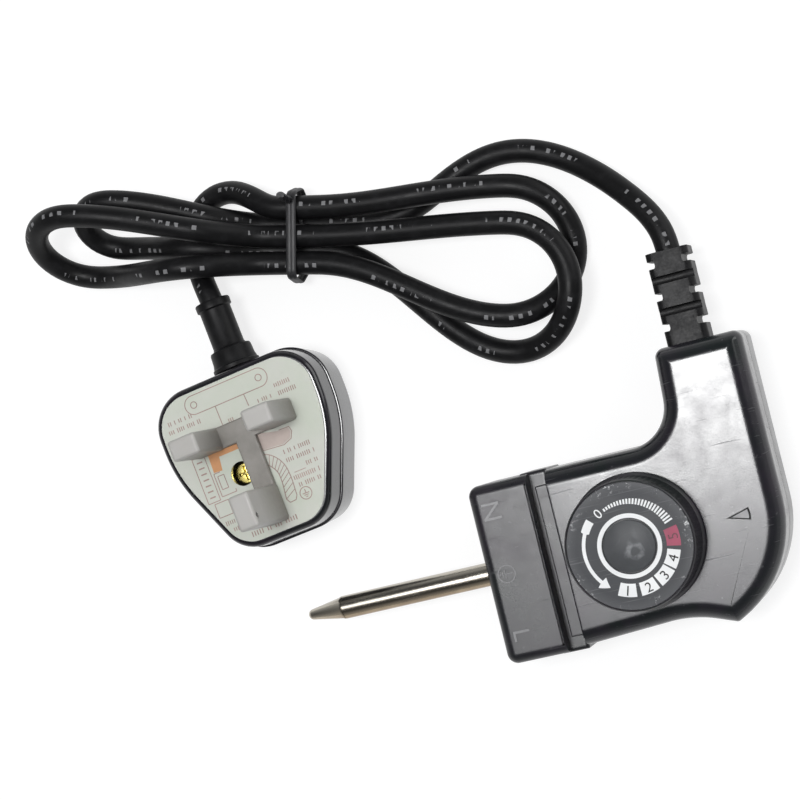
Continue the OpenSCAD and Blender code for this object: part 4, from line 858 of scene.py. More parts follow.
def dial_face(name, colour):
    """Label plate: dark lacquer with fine scratches all over and scuffs that grow to its rim."""
    f = Finish(name)
    rim = f.reach(f.centred(*DIAL)).over(0.0137, 0.0158)
    scuff = f.noise(700, 4, 0.7, 0.5).over(0.56, 0.66) * rim
    scuff = scuff * f.noise(140, 1, 0.5).over(0.45, 0.6)
    one = f.noise(260, 2, 0.5, 0.0, f.stretched((0.15, 7.0, 1.0), 28)).over(0.64, 0.7)
    two = f.noise(260, 2, 0.5, 0.0, f.stretched((0.15, 7.0, 1.0), -52)).over(0.66, 0.72)
    cloud = f.noise(160, 4, 0.6)
    base = f.mix(cloud, colour, shade(colour, 1.5, 1.5, 1.55))
    base = f.mix(one * 0.22 + two * 0.2 + rim * 0.1, base, (0.3, 0.3, 0.31))
    f.done(
        base_color=f.mix(scuff, base, (0.75, 0.76, 0.76)),
        roughness=0.36 + (cloud - 0.5) * 0.25 + one * 0.1,
        normal=f.bump(cloud * 0.5 + one * 0.2 + two * 0.2 + scuff * 0.4, 0.02),
        specular_ior_level=0.14,
    )


def lens(name, colour):
    """Centre cap: dark smooth plastic with a worn swirl of pale streaks to one side."""
    f = Finish(name)
    shifted = f.centred(DIAL[0] + 0.9, DIAL[1] - 1.3)
    swirl = f.node(
        "ShaderNodeTexWave",
        {"wave_type": "RINGS", "rings_direction": "Z"},
        {"Vector": shifted, "Scale": 90.0, "Distortion": 5.0, "Detail": 3.0, "Detail Scale": 2.0},
    )
    near = 1 - f.reach(shifted).over(0.0015, 0.0048)
    worn = swirl.over(0.45, 0.9) * near * f.noise(300, 3, 0.6).over(0.35, 0.6)
    cloud = f.noise(250, 4, 0.6)
    f.done(
        base_color=f.mix(worn * 0.6 + cloud * 0.12, colour, (0.3, 0.31, 0.32)),
        roughness=0.38 + (cloud - 0.5) * 0.3 - worn * 0.1,
        normal=f.bump(worn * 0.6 + cloud * 0.3, 0.03),
        specular_ior_level=0.15,
    )


def carded(name, colour):
    """Pale printed card: mottled, a little greener in places, with fine fibres."""
    f = Finish(name)
    cloud, fibre = f.noise(55, 4, 0.6, 0.3), f.noise(900, 3, 0.6)
    base = f.mix(
        cloud.over(0.3, 0.7), shade(colour, 0.9, 0.95, 0.88), shade(colour, 1.04, 1.02, 1.03)
    )
    f.done(
        base_color=f.mix(fibre.over(0.6, 0.8) * 0.25, base, shade(colour, 0.75, 0.74, 0.7)),
        roughness=0.55 + (cloud - 0.5) * 0.2,
        normal=f.bump(fibre, 0.01),
    )


def frosted(name, colour):
    """Milky guard with painted shade: darker low down near the card, paler towards its tops, which
    stand free of the card.
    """
    f = Finish(name)
    cloud, fine = f.noise(150, 4, 0.6), f.noise(1100, 2, 0.5)
    # height is painted shade: the boxes' sides darken towards the card, where shade falls
    height = f.part(f.place, 2).over(0.026, 0.043)
    base = f.mix(height, shade(colour, 0.42, 0.4, 0.37), colour)
    f.done(
        base_color=f.mix(cloud.over(0.35, 0.7) * 0.35, base, shade(colour, 0.85, 0.83, 0.8)),
        roughness=0.42 + (fine - 0.5) * 0.2,
        normal=f.bump(fine * 0.6 + cloud * 0.4, 0.02),
    )


def steel_with_painted_reflection(name, colour):
    """Polished steel with a painted reflection: a darker straw and brown tint on its side towards
    -y.
    """
    f = Finish(name)
    lines = f.noise(300, 3, 0.6, 0.0, f.stretched((0.25, 9.0, 9.0)))
    cloud = f.noise(90, 4, 0.6, 0.5)
    # low marks the tube's side towards -y, where a darker, warm reflection is painted into the
    # colour
    low = 1 - f.part(f.place, 1).over(ORIGIN[1] - 0.0026, ORIGIN[1] + 0.0004)
    # heat holds the straw and brown colour of that painted reflection
    heat = f.mix(cloud.over(0.3, 0.7), (0.34, 0.24, 0.12), (0.2, 0.13, 0.07))
    f.done(
        base_color=f.mix(low * (0.55 + cloud * 0.4), colour, heat),
        metallic=1.0,
        roughness=0.2 + (lines - 0.5) * 0.2 + cloud.over(0.5, 0.8) * 0.1,
        normal=f.bump(lines, 0.006),
    )


def make_finishes(look):
    """Every material of the part."""
    shell, knob, cord = tuple(look.shell_colour), tuple(look.knob_colour), tuple(look.cord_colour)
    mark = tuple(look.mark_colour)
    moulded("shell_black", shell, 0.2, 0.2, grain=0.03)
    moulded("block_black", shade(shell, 0.9), 0.3, 0.2, grain=0.03)
    moulded("knob_black", knob, 0.4, 0.12)
    moulded("plug_black", shade(shell, 0.75), 0.16, 0.1, coat=0.3)
    moulded("fitting_black", knob, 0.45, 0.12)
    rubber("cord_rubber", cord, True)
    rubber("sleeve_rubber", cord, False)
    dial_face("dial_plate", tuple(look.plate_colour))
    lens("lens", (0.055, 0.058, 0.062))
    carded("card", tuple(look.card_colour))
    # Pin cover with painted shade towards the card
    frosted("frosted_grey", tuple(look.guard_colour))
    # Probe steel with a painted reflection on its side towards -y
    steel_with_painted_reflection("probe_steel", (0.5, 0.47, 0.41))
    metal("plain_steel", (0.62, 0.62, 0.6), (0.3, 0.3, 0.29), 0.32)
    metal("contact_brass", (0.72, 0.55, 0.25), (0.36, 0.24, 0.1), 0.3)
    metal("screw_brass", (0.78, 0.66, 0.22), (0.32, 0.26, 0.06), 0.24, (0.3, 0.3, 0.3), 0.3)
    metal("pin_brass", (0.8, 0.66, 0.36), (0.5, 0.36, 0.16), 0.22)
    plain("tie_black", (0.018, 0.018, 0.02), 0.5)
    plain("mark_grey", (0.17, 0.17, 0.175), 0.35)
    plain("print_white", tuple(look.print_colour), 0.5, 0.06)
    plain("print_black", (0.02, 0.02, 0.02), 0.5, shine=0.1)
    plain("print_red", mark, 0.5, 0.35, scale=900)
    plain("print_red_dark", shade(mark, 0.3), 0.5)
    plain("card_ink", (0.36, 0.25, 0.22), 0.6, 0.3)
    plain("card_patch", (0.62, 0.3, 0.13), 0.6, 0.25)
    plain("card_hatch", (0.5, 0.42, 0.38), 0.6, 0.2)
    plain("ceramic", (0.82, 0.8, 0.74), 0.6)
    plain("wire_brown", (0.3, 0.14, 0.06), 0.5)
    plain("wire_blue", (0.06, 0.17, 0.5), 0.5)
    plain("wire_green", (0.2, 0.45, 0.1), 0.5)


# Slots whose finish has another name than the slot
SLOT_FINISH = {
    "black_shell": "shell_black",
    "insulator": "ceramic",
    "dial_grey": "knob_black",
    "dial_label": "dial_plate",
    "cap_black": "lens",
    "cord_rubber": "sleeve_rubber",
    "plug_black": "fitting_black",
}


# Settings

def distance(name, description, default, low, high):
    """Length that a user would change, in metres."""
    return FloatProperty(
        name=name, description=description, default=default, min=low, max=high,
        subtype="DISTANCE", unit="LENGTH",
    )


def paint(name, description, default):
    """Colour that a user would change."""
    return FloatVectorProperty(
        name=name, description=description, default=default, min=0.0, max=1.0, subtype="COLOR"
    )


class HeatControlSizes(bpy.types.PropertyGroup):
    """Sizes that a user would change."""

    edge: distance("Housing edge", "Radius of the housing's upper edge", 0.0046, 0.003, 0.005)
    cord_spacing: distance(
        "Cord spacing", "Distance between the rings of the cord's tube", 0.0015, 0.0008, 0.003
    )
    cord_sides: IntProperty(
        name="Cord sides", description="Sides of the cord's tube", default=24, min=12, max=48
    )
    flutes: IntProperty(
        name="Knob flutes", description="Flutes around the knob's side", default=72, min=36, max=96
    )
    flute_depth: distance("Flute depth", "Depth of the knob's flutes", 0.00022, 0.0, 0.0005)
    line: distance("Card line", "Width of the lines on the plug's card", 0.00024, 0.0001, 0.0005)


class HeatControlColours(bpy.types.PropertyGroup):
    """Colours that a user would change."""

    shell_colour: paint("Shell", "Colour of the housing and plug", (0.016, 0.016, 0.018))
    knob_colour: paint("Knob", "Colour of the knob's side", (0.02, 0.02, 0.021))
    plate_colour: paint("Dial plate", "Colour of the dial's label plate", (0.035, 0.037, 0.04))
    print_colour: paint("Dial print", "Colour of the dial's marks", (0.82, 0.83, 0.83))
    mark_colour: paint(
        "Highest mark", "Colour of the box at the highest setting", (0.32, 0.035, 0.085)
    )
    cord_colour: paint("Cord", "Colour of the cord's rubber", (0.006, 0.006, 0.0065))
    card_colour: paint("Card", "Colour of the plug's card", (0.6, 0.61, 0.56))
    guard_colour: paint("Pin cover", "Colour of the frosted pin cover", (0.42, 0.41, 0.39))


def sizes():
    """The sizes as set in the scene."""
    return bpy.context.scene.heat_control_sizes


# The stage

def placed(name, data, place, angles):
    """Object for a camera or lamp at a place, turned by angles in degrees."""
    made = bpy.data.objects.new(name, data)
    made.location = in_frame(*place)
    made.rotation_euler = np.radians(angles)
    bpy.context.scene.collection.objects.link(made)
    return made


def area_light(name, place, angles, width, depth, watts):
    """Flat lamp."""
    light = bpy.data.lights.new(name, "AREA")
    light.shape, light.size, light.size_y = "RECTANGLE", width, depth
    light.energy = watts
    placed(name, light, place, angles)


def make_world():
    """White to the camera and through clear pieces. Gloss sees dark above, pale walls near the
    horizon and one bright panel; everything else gets an even room."""
    world = bpy.context.scene.world = bpy.data.worlds.new("studio")
    t = Tree(world)

    def background(colour, strength=1.0):
        return t.node("ShaderNodeBackground", None, {"Color": colour, "Strength": strength})

    way = t.node("ShaderNodeTexCoord", output="Generated")
    ends = {0: way, 1: PANEL_WAY}
    away = t.node("ShaderNodeVectorMath", {"operation": "DISTANCE"}, ends, "Value")
    walls = background(t.ramp(t.part(way, 2), WALL_STOPS))
    panel = background(t.ramp(away, PANEL_STOPS), PANEL_STRENGTH)
    lit = t.blend(t.ray("Glossy"), background(ROOM), t.total(walls, panel))
    seen = t.blend(t.ray("Camera", "Transmission"), lit, background((1, 1, 1)))
    t.node("ShaderNodeOutputWorld", None, {0: seen})


def make_floor():
    """White floor that keeps the part's faint shadow."""
    h = FLOOR_HALF
    corners = np.array([[(-h, -h), (h, -h)], [(-h, h), (h, h)]])
    skin = Skin().grid(
        stacked(corners[..., 0], corners[..., 1], FLOOR_LEVEL), round_columns=False, ends=False
    )
    floor = bpy.data.objects.new("floor", skin.mesh("floor"))
    bpy.context.scene.collection.objects.link(floor)
    material = bpy.data.materials.new("floor")
    t = Tree(material)
    unseen = t.node("ShaderNodeBsdfDiffuse", None, {"Color": FLOOR_UNSEEN})
    shaded = t.node("ShaderNodeBsdfDiffuse", None, {"Color": FLOOR_SEEN})
    glow = t.node("ShaderNodeEmission", None, {"Strength": FLOOR_GLOW})
    seen = t.ray("Camera", "Glossy", "Transmission")
    surface = t.blend(seen, unseen, t.total(shaded, glow))
    t.node("ShaderNodeOutputMaterial", None, {0: surface})
    floor.data.materials.append(material)


class HEAT_OT_stage(bpy.types.Operator):
    """Camera, floor, lamps and surroundings"""

    bl_idname = "heat.stage"
    bl_label = "Stage"

    def execute(self, context):
        camera = bpy.data.cameras.new("photo_camera")
        camera.sensor_width = SENSOR
        camera.lens = SENSOR * FOCAL_PIXELS / PHOTO_PIXELS
        camera.clip_start = NEAREST
        context.scene.camera = placed("photo_camera", camera, CAMERA_PLACE, CAMERA_ANGLES)
        area_light("softbox", *SOFTBOX)
        area_light("window", *WINDOW)
        make_world()
        make_floor()
        context.scene.view_settings.view_transform = "Standard"
        return {"FINISHED"}


# Pieces

class HEAT_OT_finishes(bpy.types.Operator):
    """Materials of every piece"""

    bl_idname = "heat.finishes"
    bl_label = "Finishes"

    def execute(self, context):
        make_finishes(context.scene.heat_control_colours)
        for part in frame["record"]["subparts"]:
            if part["node"] not in frame["nodes"]:
                raise RuntimeError(part["node"] + " is not in the frame")
            slot = part["material_slot"]
            for place in frame["nodes"][part["node"]].material_slots:
                place.material = FINISHES[SLOT_FINISH.get(slot, slot)]
        return {"FINISHED"}


def tie_band(skin, outline):
    """Two turns of wire round the strands: an outline carried along by a flat oval section."""
    section = np.linspace(0, 2 * math.pi, 13)[:-1]
    for shift in TIE_TURNS:
        rows = []
        for a in section:
            ring = rounded(outline, -TIE_OFF - TIE_THICK * math.sin(a))
            rows.append(stacked(TIE_WIDE * math.cos(a) + shift, ring[:, 0], ring[:, 1]))
        skin.grid(np.stack(rows)[::-1], round_rows=True, ends=False)


def tie_tail(skin, y, z):
    """Two wires laid round each other, each a helix about a line that leans over."""
    t = np.linspace(0, 1, 60)
    around = np.arange(10) * 2 * math.pi / 10
    ring = TAIL_WIRE * stacked(np.cos(around), np.sin(around), 0)
    for start in (0, math.pi):
        a = start + t * math.radians(TAIL_TWIST)
        wire = stacked(
            TAIL_R * np.cos(a) + 1.2 * t * t,
            y + TAIL_R * np.sin(a) + 0.8 * t,
            z + TAIL_TALL * t,
        )
        skin.grid(wire[:, None] + ring[None])


class HEAT_OT_cord(bpy.types.Operator):
    """Mains cord with its hank, and the wire tie round it"""

    bl_idname = "heat.cord"
    bl_label = "Cord and tie"

    def execute(self, context):
        path = cord_path(sizes().cord_spacing / MM)
        cord = tube(path, CORD / 2 - FACET, sizes().cord_sides).mesh("mains_cord", weld=False)
        piece(
            "mains_cord", cord, "cord_rubber", "housing", "cord_rubber",
            "cord_lead", "cord_hank", "plug_lead", sharp=60,
        )
        reach = CORD / 2 + TIE_GAP
        low, high = LIFT - TIE_GAP, waist(len(FOLD_REACH))[2] + reach
        middle = (low + high) / 2 + TIE_GAP
        left, right = WAIST_PLACE[3] - reach, WAIST_PLACE[4] + reach
        foot = CORD / 2 + TIE_SPREAD
        around = [
            (WAIST_PLACE[1] - foot, low), (WAIST_PLACE[0] + foot, low),
            (right + TIE_SPREAD, middle), (right, high), (left, high), (left - TIE_SPREAD, middle),
        ]
        skin = Skin(at_hank)
        tie_band(skin, [(y, z, TIE_CORNER) for y, z in around])
        tie_tail(skin, right - 1.8, high + 0.3)
        piece("wire_tie", skin, "tie_black", "housing", "tie_black", "twist_tie")
        return {"FINISHED"}


def columns(r, low, high, sides):
    """A rod at each of the housing's screws."""
    skin = Skin()
    for x, y in SCREWS:
        skin.rod(r, low, high, (x, y, 0), sides=sides)
    return skin


def pie(tip, middle, reach, spread):
    """Outline of a pie slice: its tip, and an arc of a reach about a middle on the same level."""
    a = np.radians(np.linspace(-spread, spread, 9))
    rim = stacked(middle + reach * np.cos(a), POINTER[1] + reach * np.sin(a))
    return np.vstack([[(tip, POINTER[1])], rim])


def cord_notch():
    """The way through the handle's wall that the strain relief sits in."""
    return Skin().box(*NOTCH, r=NOTCH_EDGE)


def grip_ribs():
    """Small upright swellings on the waist's side: r = proud cos a at middle + tall sin a."""
    ring = rounded(BODY, 0, FINE)
    waist_side = ring[ring[:, 1] < -15]
    waist_side = waist_side[np.argsort(waist_side[:, 0])]
    a = np.linspace(-math.pi / 2, math.pi / 2, 17)
    profile = np.column_stack([
        np.maximum(RIB_PROUD * np.cos(a), 0), RIB_MIDDLE + RIB_TALL * np.sin(a)
    ])
    skin = Skin()
    for x in RIB_PLACES:
        y = np.interp(x, waist_side[:, 0], waist_side[:, 1])
        skin.turn(profile, (x, y + RIB_SUNK, 0), sides=16)
    return skin


class HEAT_OT_housing(bpy.types.Operator):
    """Two housing shells with bosses, screw holes, pointer and grip ribs"""

    bl_idname = "heat.housing"
    bl_label = "Housing"

    def execute(self, context):
        inside = rounded(BODY_INSIDE, WALL, FINE)
        edges = [sizes().edge / MM] * SIDES + [FRONT_EDGE]
        holes = columns(SCREW_BORE, SPLIT - 1, SCREW_END, 24)
        holes.rod(DIAL_HOLE, TOP - WALL - 1, TOP + 1, (*DIAL, 0))
        pointer = pie(POINTER[0], POINTER[0], POINTER_REACH, POINTER_SPREAD)
        holes.plate(pointer, TOP - POINTER_DEPTH, TOP + 1)
        mesh = joined(
            "upper_shell", Skin().slab(BODY, SPLIT, TOP, SHELL_BEVEL, edges, FINE),
            ("DIFFERENCE", Skin().plate(inside, SPLIT - 1, TOP - WALL)),
            ("UNION", columns(SCREW_BOSS, SPLIT, TOP - WALL / 2, 40)),
            ("DIFFERENCE", holes), ("DIFFERENCE", cord_notch()),
        )
        piece("upper_shell", mesh, "shell_black", "housing", "black_shell", "upper_housing")

        for name, finish, (*outline, below) in (
            ("pointer_groove", "print_black", GROOVE), ("pointer", "mark_grey", INLAY)
        ):
            shape = Skin().plate(pie(*outline), TOP - INLAY_DEPTH, TOP - below)
            piece(name, shape, finish, "housing", "black_shell")

        edges = [FOOT_EDGE] * SIDES + [FRONT_EDGE]
        mesh = joined(
            "lower_shell", Skin().slab(BODY, 0, SPLIT, edges, SHELL_BEVEL, FINE),
            ("DIFFERENCE", Skin().plate(inside, WALL, SPLIT + 1)),
            ("UNION", columns(FOOT_BOSS, WALL / 2, SPLIT, 40)),
            ("DIFFERENCE", columns(FOOT_BORE, -1, SPLIT + 1, 24)),
            ("DIFFERENCE", columns(RECESS, -1, RECESS_END, 40)),
            ("DIFFERENCE", cord_notch()), ("UNION", grip_ribs()),
        )
        piece("lower_shell", mesh, "shell_black", "housing", "black_shell", "lower_housing")
        return {"FINISHED"}


class HEAT_OT_connector(bpy.types.Operator):
    """Connector block with its sockets' ways, lip and raised terminal marks, and the probe"""

    bl_idname = "heat.connector"
    bl_label = "Connector and probe"

    def execute(self, context):
        h = HALF_BLOCK
        corners = [
            (0, -h, BLOCK_FRONT_R), (BLOCK_BACK, -h, LEAST),
            (BLOCK_BACK, h, LEAST), (0, h, BLOCK_FRONT_R),
        ]
        ways = Skin()
        for y, r in ((-SOCKET_OUT, SOCKET_WAY), (SOCKET_OUT, SOCKET_WAY), (0, PROBE_WAY)):
            ways.rod(r, -1, TONGUE_END + 1, (0, y, AXIS), "x")
        lip = Skin().box(*LIP, high_r=LIP_EDGE)
        neck = Skin().box(*NECK, r=NECK_CORNER, low_r=NECK_EDGE, high_r=NECK_EDGE)
        tongue = Skin().box(*TONGUE)
        mesh = joined(
            "connector", Skin().slab(corners, 0, TOP, BLOCK_EDGES, BLOCK_EDGES, 10),
            ("UNION", lip), ("UNION", neck), ("UNION", tongue), ("DIFFERENCE", ways),
        )
        piece("connector", mesh, "block_black", "housing", "black_shell", "connector_block")

        marks, level = Skin(), (TOP - MARK_DEEP, TOP + MARK_PROUD)
        for sign, place, tall in TERMINALS:
            marks.letter(sign, place, tall, -90, *level)
        marks.arc(EARTH_MARK, EARTH_MARK_R, RING_HALF, 0, 360, *level)
        y = EARTH_MARK[1]
        for x, half in MARK_BARS:
            marks.strip([(x, y - half), (x, y + half)], BAR_HALF, *level)
        marks.strip([(x, y) for x in EARTH_STEM], BAR_HALF, *level)
        piece("terminal_marks", marks, "mark_grey", "housing", "black_shell", bevel=0.04)

        centre = (0, 0, AXIS)
        sheath = Skin().turn(SHEATH, centre, "x", closed=True)
        piece("probe_sheath", sheath, "probe_steel", "housing", "probe_steel", "probe_tube")
        a = np.radians(np.linspace(0, NOSE_TURN, 8))
        nose = np.column_stack([NOSE_R * np.sin(a), NOSE_X + NOSE_R * (1 - np.cos(a))])
        tip = Skin().turn(np.vstack([nose, NOSE_BACK]), centre, "x")
        piece("probe_nose", tip, "probe_steel", "housing", "probe_steel", "probe_tip")
        return {"FINISHED"}


def on_dial(r, degrees):
    """Place on the dial at a radius and an angle."""
    a = math.radians(degrees)
    return (DIAL[0] + r * math.cos(a), DIAL[1] + r * math.sin(a))


class HEAT_OT_dial(bpy.types.Operator):
    """Fluted knob, label plate with its printed scale, and centre cap"""

    bl_idname = "heat.dial"
    bl_label = "Dial"

    def execute(self, context):
        centre, flutes = (*DIAL, 0), sizes().flutes
        knob = Skin().turn(
            KNOB, centre, "z", flutes * FLUTE_SIDES, flutes, sizes().flute_depth / MM, closed=True
        )
        piece("knob", knob, "knob_black", "dial", "dial_grey", "dial_knob")
        label = Skin().turn(LABEL, centre, "z", 128, closed=True)
        piece("label_plate", label, "dial_plate", "dial", "dial_label", "dial_plate")
        share = 1 - np.linspace(0, 1, 14)
        dome = np.column_stack([CAP_R * share, CAP_RIM + CAP_RISE * (1 - share**2)])
        cap = Skin().turn(np.vstack([CAP_FOOT, dome]), centre, "z", 96)
        piece("centre_cap", cap, "lens", "dial", "cap_black", "knob_cap")

        low = PLATE_TOP - PRINT
        flat, raised = (low, low + 2 * PRINT), (low, low + 3 * PRINT)
        light = Skin().arc(DIAL, CAP_RING_R, CAP_RING_HALF, 0, 360, *flat, 128)
        for _, angle in SETTINGS:
            light.arc(
                DIAL, BOX_MIDDLE, BOX_HALF, angle - BOX_SPREAD, angle + BOX_SPREAD, *flat, 12
            )
        sweep = np.linspace(ARROW_START, ARROW_END, 97)
        tail = ARROW_TAIL - 0.03 * (sweep - ARROW_START) / (TAIL_END - ARROW_START)
        head = ARROW_HEAD * (ARROW_END - sweep) / 12.8 + 0.02
        half = np.where(sweep < TAIL_END, tail, np.where(sweep > HEAD_START, head, ARROW_LINE))
        light.strip([on_dial(ARROW_R, angle) for angle in sweep], half, *flat)
        for k, angle in enumerate(np.linspace(TICK_START, TICK_END, TICKS)):
            reach = TICK_REACH + TICK_GROWTH * k / (TICKS - 1)
            light.strip([on_dial(TICK_FOOT, angle), on_dial(reach, angle)], TICK_HALF, *flat)
        light.letter("0", on_dial(SIGN_REACH, ZERO_AT), SIGN_TALL, ZERO_AT + 90, *raised)
        signs = Skin()
        for sign, angle in SETTINGS:
            signs.letter(sign, on_dial(SIGN_REACH, angle), SIGN_TALL, angle + 90, *raised)
        piece("dial_scale", light, "print_white", "dial", "dial_label")
        piece("dial_numbers", signs, "print_black", "dial", "dial_label")
        red = Skin().arc(
            DIAL, BOX_MIDDLE, HIGHEST_HALF, -HIGHEST_SPREAD, HIGHEST_SPREAD, *flat, 12
        )
        piece("highest_box", red, "print_red", "dial", "dial_label")
        five = Skin().letter("5", on_dial(SIGN_REACH, 0), SIGN_TALL, 90, *raised)
        piece("highest_number", five, "print_red_dark", "dial", "dial_label")
        return {"FINISHED"}


def square_ring(half):
    """Ring of a square with round corners, with points along its straight walls too."""
    square = [(half * a, half * b, RELIEF_CORNER) for a, b in ((-1, -1), (1, -1), (1, 1), (-1, 1))]
    arcs = rounded(square, 0, 4).reshape(4, 5, 2)
    share = np.linspace(0, 1, 9)[None, 1:-1, None]
    walls = arcs[:, -1:] + (np.roll(arcs[:, 0], -1, axis=0)[:, None] - arcs[:, -1:]) * share
    return np.concatenate([arcs, walls], axis=1).reshape(-1, 2)


class HEAT_OT_relief(bpy.types.Operator):
    """Notched strain relief at the handle"""

    bl_idname = "heat.relief"
    bl_label = "Strain relief"

    def execute(self, context):
        x0, start, end = RELIEF
        inside, free, half = start - WALL, 9.0, RELIEF_BAR
        root = inside - RELIEF_ROOT
        # Sections along y as half width and how far x and z may reach
        stops = [(root, RELIEF_FLANGE, free, free), (inside, RELIEF_FLANGE, free, free)]
        stops += [(inside, RELIEF_NECK, free, free), (start, RELIEF_NECK, free, free)]
        stops += [(start, half, free, free)]
        cuts = [(share, (RELIEF_WEB, free)) for share in SIDE_SLOTS]
        cuts += [(share, (free, RELIEF_WEB)) for share in TOP_SLOTS]
        for share, web in sorted(cuts):
            y = start + share * (end - start)
            deep = tuple(w - SLOT_ROUND if w < free else w for w in web)
            for shift, limits in (
                (-1, (free, free)), (-1, web), (-0.4, deep),
                (0.4, deep), (1, web), (1, (free, free)),
            ):
                stops.append((y + shift * RELIEF_SLOT, half, *limits))
        stops += [(end, half, free, free)]
        rows = []
        for y, w, reach_x, reach_z in stops:
            x, z = square_ring(w).T
            x, z = np.clip(x, -reach_x, reach_x), np.clip(z, -reach_z, reach_z)
            rows.append(stacked(x0 + x, y, AXIS + z))
        x, z = square_ring(half).T
        a = np.arctan2(z, x)
        for y in (end, root):
            rows.append(stacked(x0 + RELIEF_BORE * np.cos(a), y, AXIS + RELIEF_BORE * np.sin(a)))
        skin = Skin().grid(np.stack(rows)[::-1], round_rows=True, ends=False)
        piece(
            "strain_relief_boot", skin, "sleeve_rubber", "housing", "cord_rubber",
            "strain_relief", sharp=30, bevel=0.25,
        )
        return {"FINISHED"}


def pin_box(skin, pin, grow, low, high, **more):
    """Box round a pin, larger than it on every side."""
    x, y, wide, thick, _ = pin
    half_x, half_y = thick / 2 + grow, wide / 2 + grow
    return skin.box((x - half_x, y - half_y, low), (x + half_x, y + half_y, high), **more)


def face_cuts():
    """Ways through the plug's face for its screw and pins."""
    skin = Skin(at_plug).rod(SCREW_WAY, SCREW_SEAT, FACE + 1, (*PLUG_SCREW, 0))
    for pin in PINS:
        pin_box(skin, pin, 0.2, 21, FACE + 1)
    return skin


def plug_hollow(inset, low, high):
    """The room inside one of the plug's shells."""
    return Skin(at_plug).plate(rounded(PLUG_CORNERS, inset, FINE), low, high)


def plug_rod(r, low, high, sides=48):
    """Rod on the axis of the plug's screw."""
    return Skin(at_plug).rod(r, low, high, (*PLUG_SCREW, 0), sides=sides)


def back_shell():
    """Outer form of the plug's back: a quarter round foot, a wall that leans out in a straight
    line and a small round lip, each as an inset of the outline."""
    foot = PLUG_FOOT * (1 - np.sin(np.linspace(math.pi / 2, 0, 9)))
    z = np.concatenate([foot, PLUG_LEVELS])
    wall = np.clip((z - PLUG_FOOT) / (PLUG_SPLIT - PLUG_FOOT - PLUG_LIP), 0, 1)
    down = PLUG_FOOT - np.minimum(z, PLUG_FOOT)
    curve = PLUG_FOOT - np.sqrt(PLUG_FOOT**2 - down**2)
    up = np.maximum(z - (PLUG_SPLIT - PLUG_LIP), 0)
    lip = PLUG_LIP - np.sqrt(PLUG_LIP**2 - up**2)
    insets = PLUG_LEAN * (1 - wall) + curve + lip
    return Skin(at_plug).rings(PLUG_CORNERS, list(insets), z, FINE, 0.4)


class HEAT_OT_plug(bpy.types.Operator):
    """Plug shells, sleeve, closing screw and the frosted cover of the pins"""

    bl_idname = "heat.plug"
    bl_label = "Plug"

    def execute(self, context):
        front = Skin(at_plug).slab(
            moved_in(PLUG_CORNERS, FRONT_STEP), PLUG_SPLIT, FACE - CARD_DEEP, PLUG_LIP,
            FRONT_EDGE_R, FINE, FRONT_DRAFT,
        )
        mesh = joined(
            "plug_front", front,
            ("DIFFERENCE", plug_hollow(FRONT_STEP + PLUG_WALL, PLUG_SPLIT - 1, FACE - FACE_WALL)),
            ("UNION", plug_rod(FRONT_BOSS, PLUG_SPLIT, FACE - FRONT_BOSS_DOWN)),
            ("DIFFERENCE", face_cuts()), ("DIFFERENCE", plug_rod(*FRONT_BORE)),
        )
        piece("plug_front", mesh, "plug_black", "housing", "plug_black", "plug_base")

        axis = (0, 0, CORD_EXIT)
        mesh = joined(
            "plug_back", back_shell(),
            ("DIFFERENCE", plug_hollow(PLUG_WALL, PLUG_WALL, PLUG_SPLIT + 1)),
            ("UNION", plug_rod(BACK_BOSS, PLUG_WALL / 2, PLUG_SPLIT)),
            ("DIFFERENCE", plug_rod(BACK_BORE, BACK_BORE_FOOT, PLUG_SPLIT + 1, 32)),
            ("DIFFERENCE", Skin(at_plug).rod(ENTRY, 14, 18, axis, "x")),
        )
        piece("plug_back", mesh, "plug_black", "housing", "plug_black", "plug_cover")
        sleeve = Skin(at_plug).turn(SLEEVE, axis, "x", closed=True)
        piece("sleeve", sleeve, "sleeve_rubber", "housing", "cord_rubber", "plug_sleeve")

        x, y = PLUG_SCREW
        a = np.linspace(0, math.pi / 2, 7)
        rim = np.column_stack([RIM_R + RIM_OUT * np.cos(a), RIM_LEVEL + RIM_RISE * np.sin(a)])
        profile = np.vstack([SHANK, rim, HEAD_TOP])
        head = Skin(at_plug).turn(profile, (x, y, 0), sides=48)
        bars = [
            Skin(at_plug).box((x - w, y - d, CROSS_FOOT), (x + w, y + d, 23), r=CROSS_CORNER)
            for w, d in ((CROSS_REACH, CROSS_HALF), (CROSS_HALF, CROSS_REACH))
        ]
        mesh = joined("closing_screw", head, *[("DIFFERENCE", bar) for bar in bars])
        piece("closing_screw", mesh, "screw_brass", "housing", "pin_brass", "plug_screw")

        low, web = FACE + GUARD_LIFT, FACE + WEB_TALL
        boxes = [
            pin_box(
                Skin(at_plug), pin, GUARD_WALL, low, FACE + pin[4] + GUARD_OVER, **GUARD_EDGES
            )
            for pin in PINS
        ]
        bridge = Skin(at_plug).box(
            (-WEB_HALF, -BRIDGE_REACH, low), (WEB_HALF, BRIDGE_REACH, web), high_r=WEB_EDGE
        )
        stem = Skin(at_plug).box(
            (STEM[0], -WEB_HALF, low), (STEM[1], WEB_HALF, web), high_r=WEB_EDGE
        )
        pockets = Skin(at_plug)
        for pin in PINS:
            pin_box(pockets, pin, GUARD_GAP, FACE - 1, FACE + pin[4] + GUARD_GAP)
        middle = (GUARD_HOLE_X, 0, FACE + PINS[2][4])
        hole = Skin(at_plug).rod(GUARD_HOLE, -8, 8, middle, "y", 24)
        mesh = joined(
            "pin_guard", boxes[0], ("UNION", boxes[1]), ("UNION", boxes[2]), ("UNION", bridge),
            ("UNION", stem), ("DIFFERENCE", pockets), ("DIFFERENCE", hole),
        )
        piece(
            "pin_guard_cover", mesh, "frosted_grey", "pin_guard", "frosted_grey", "pin_cover",
            sharp=40,
        )
        return {"FINISHED"}


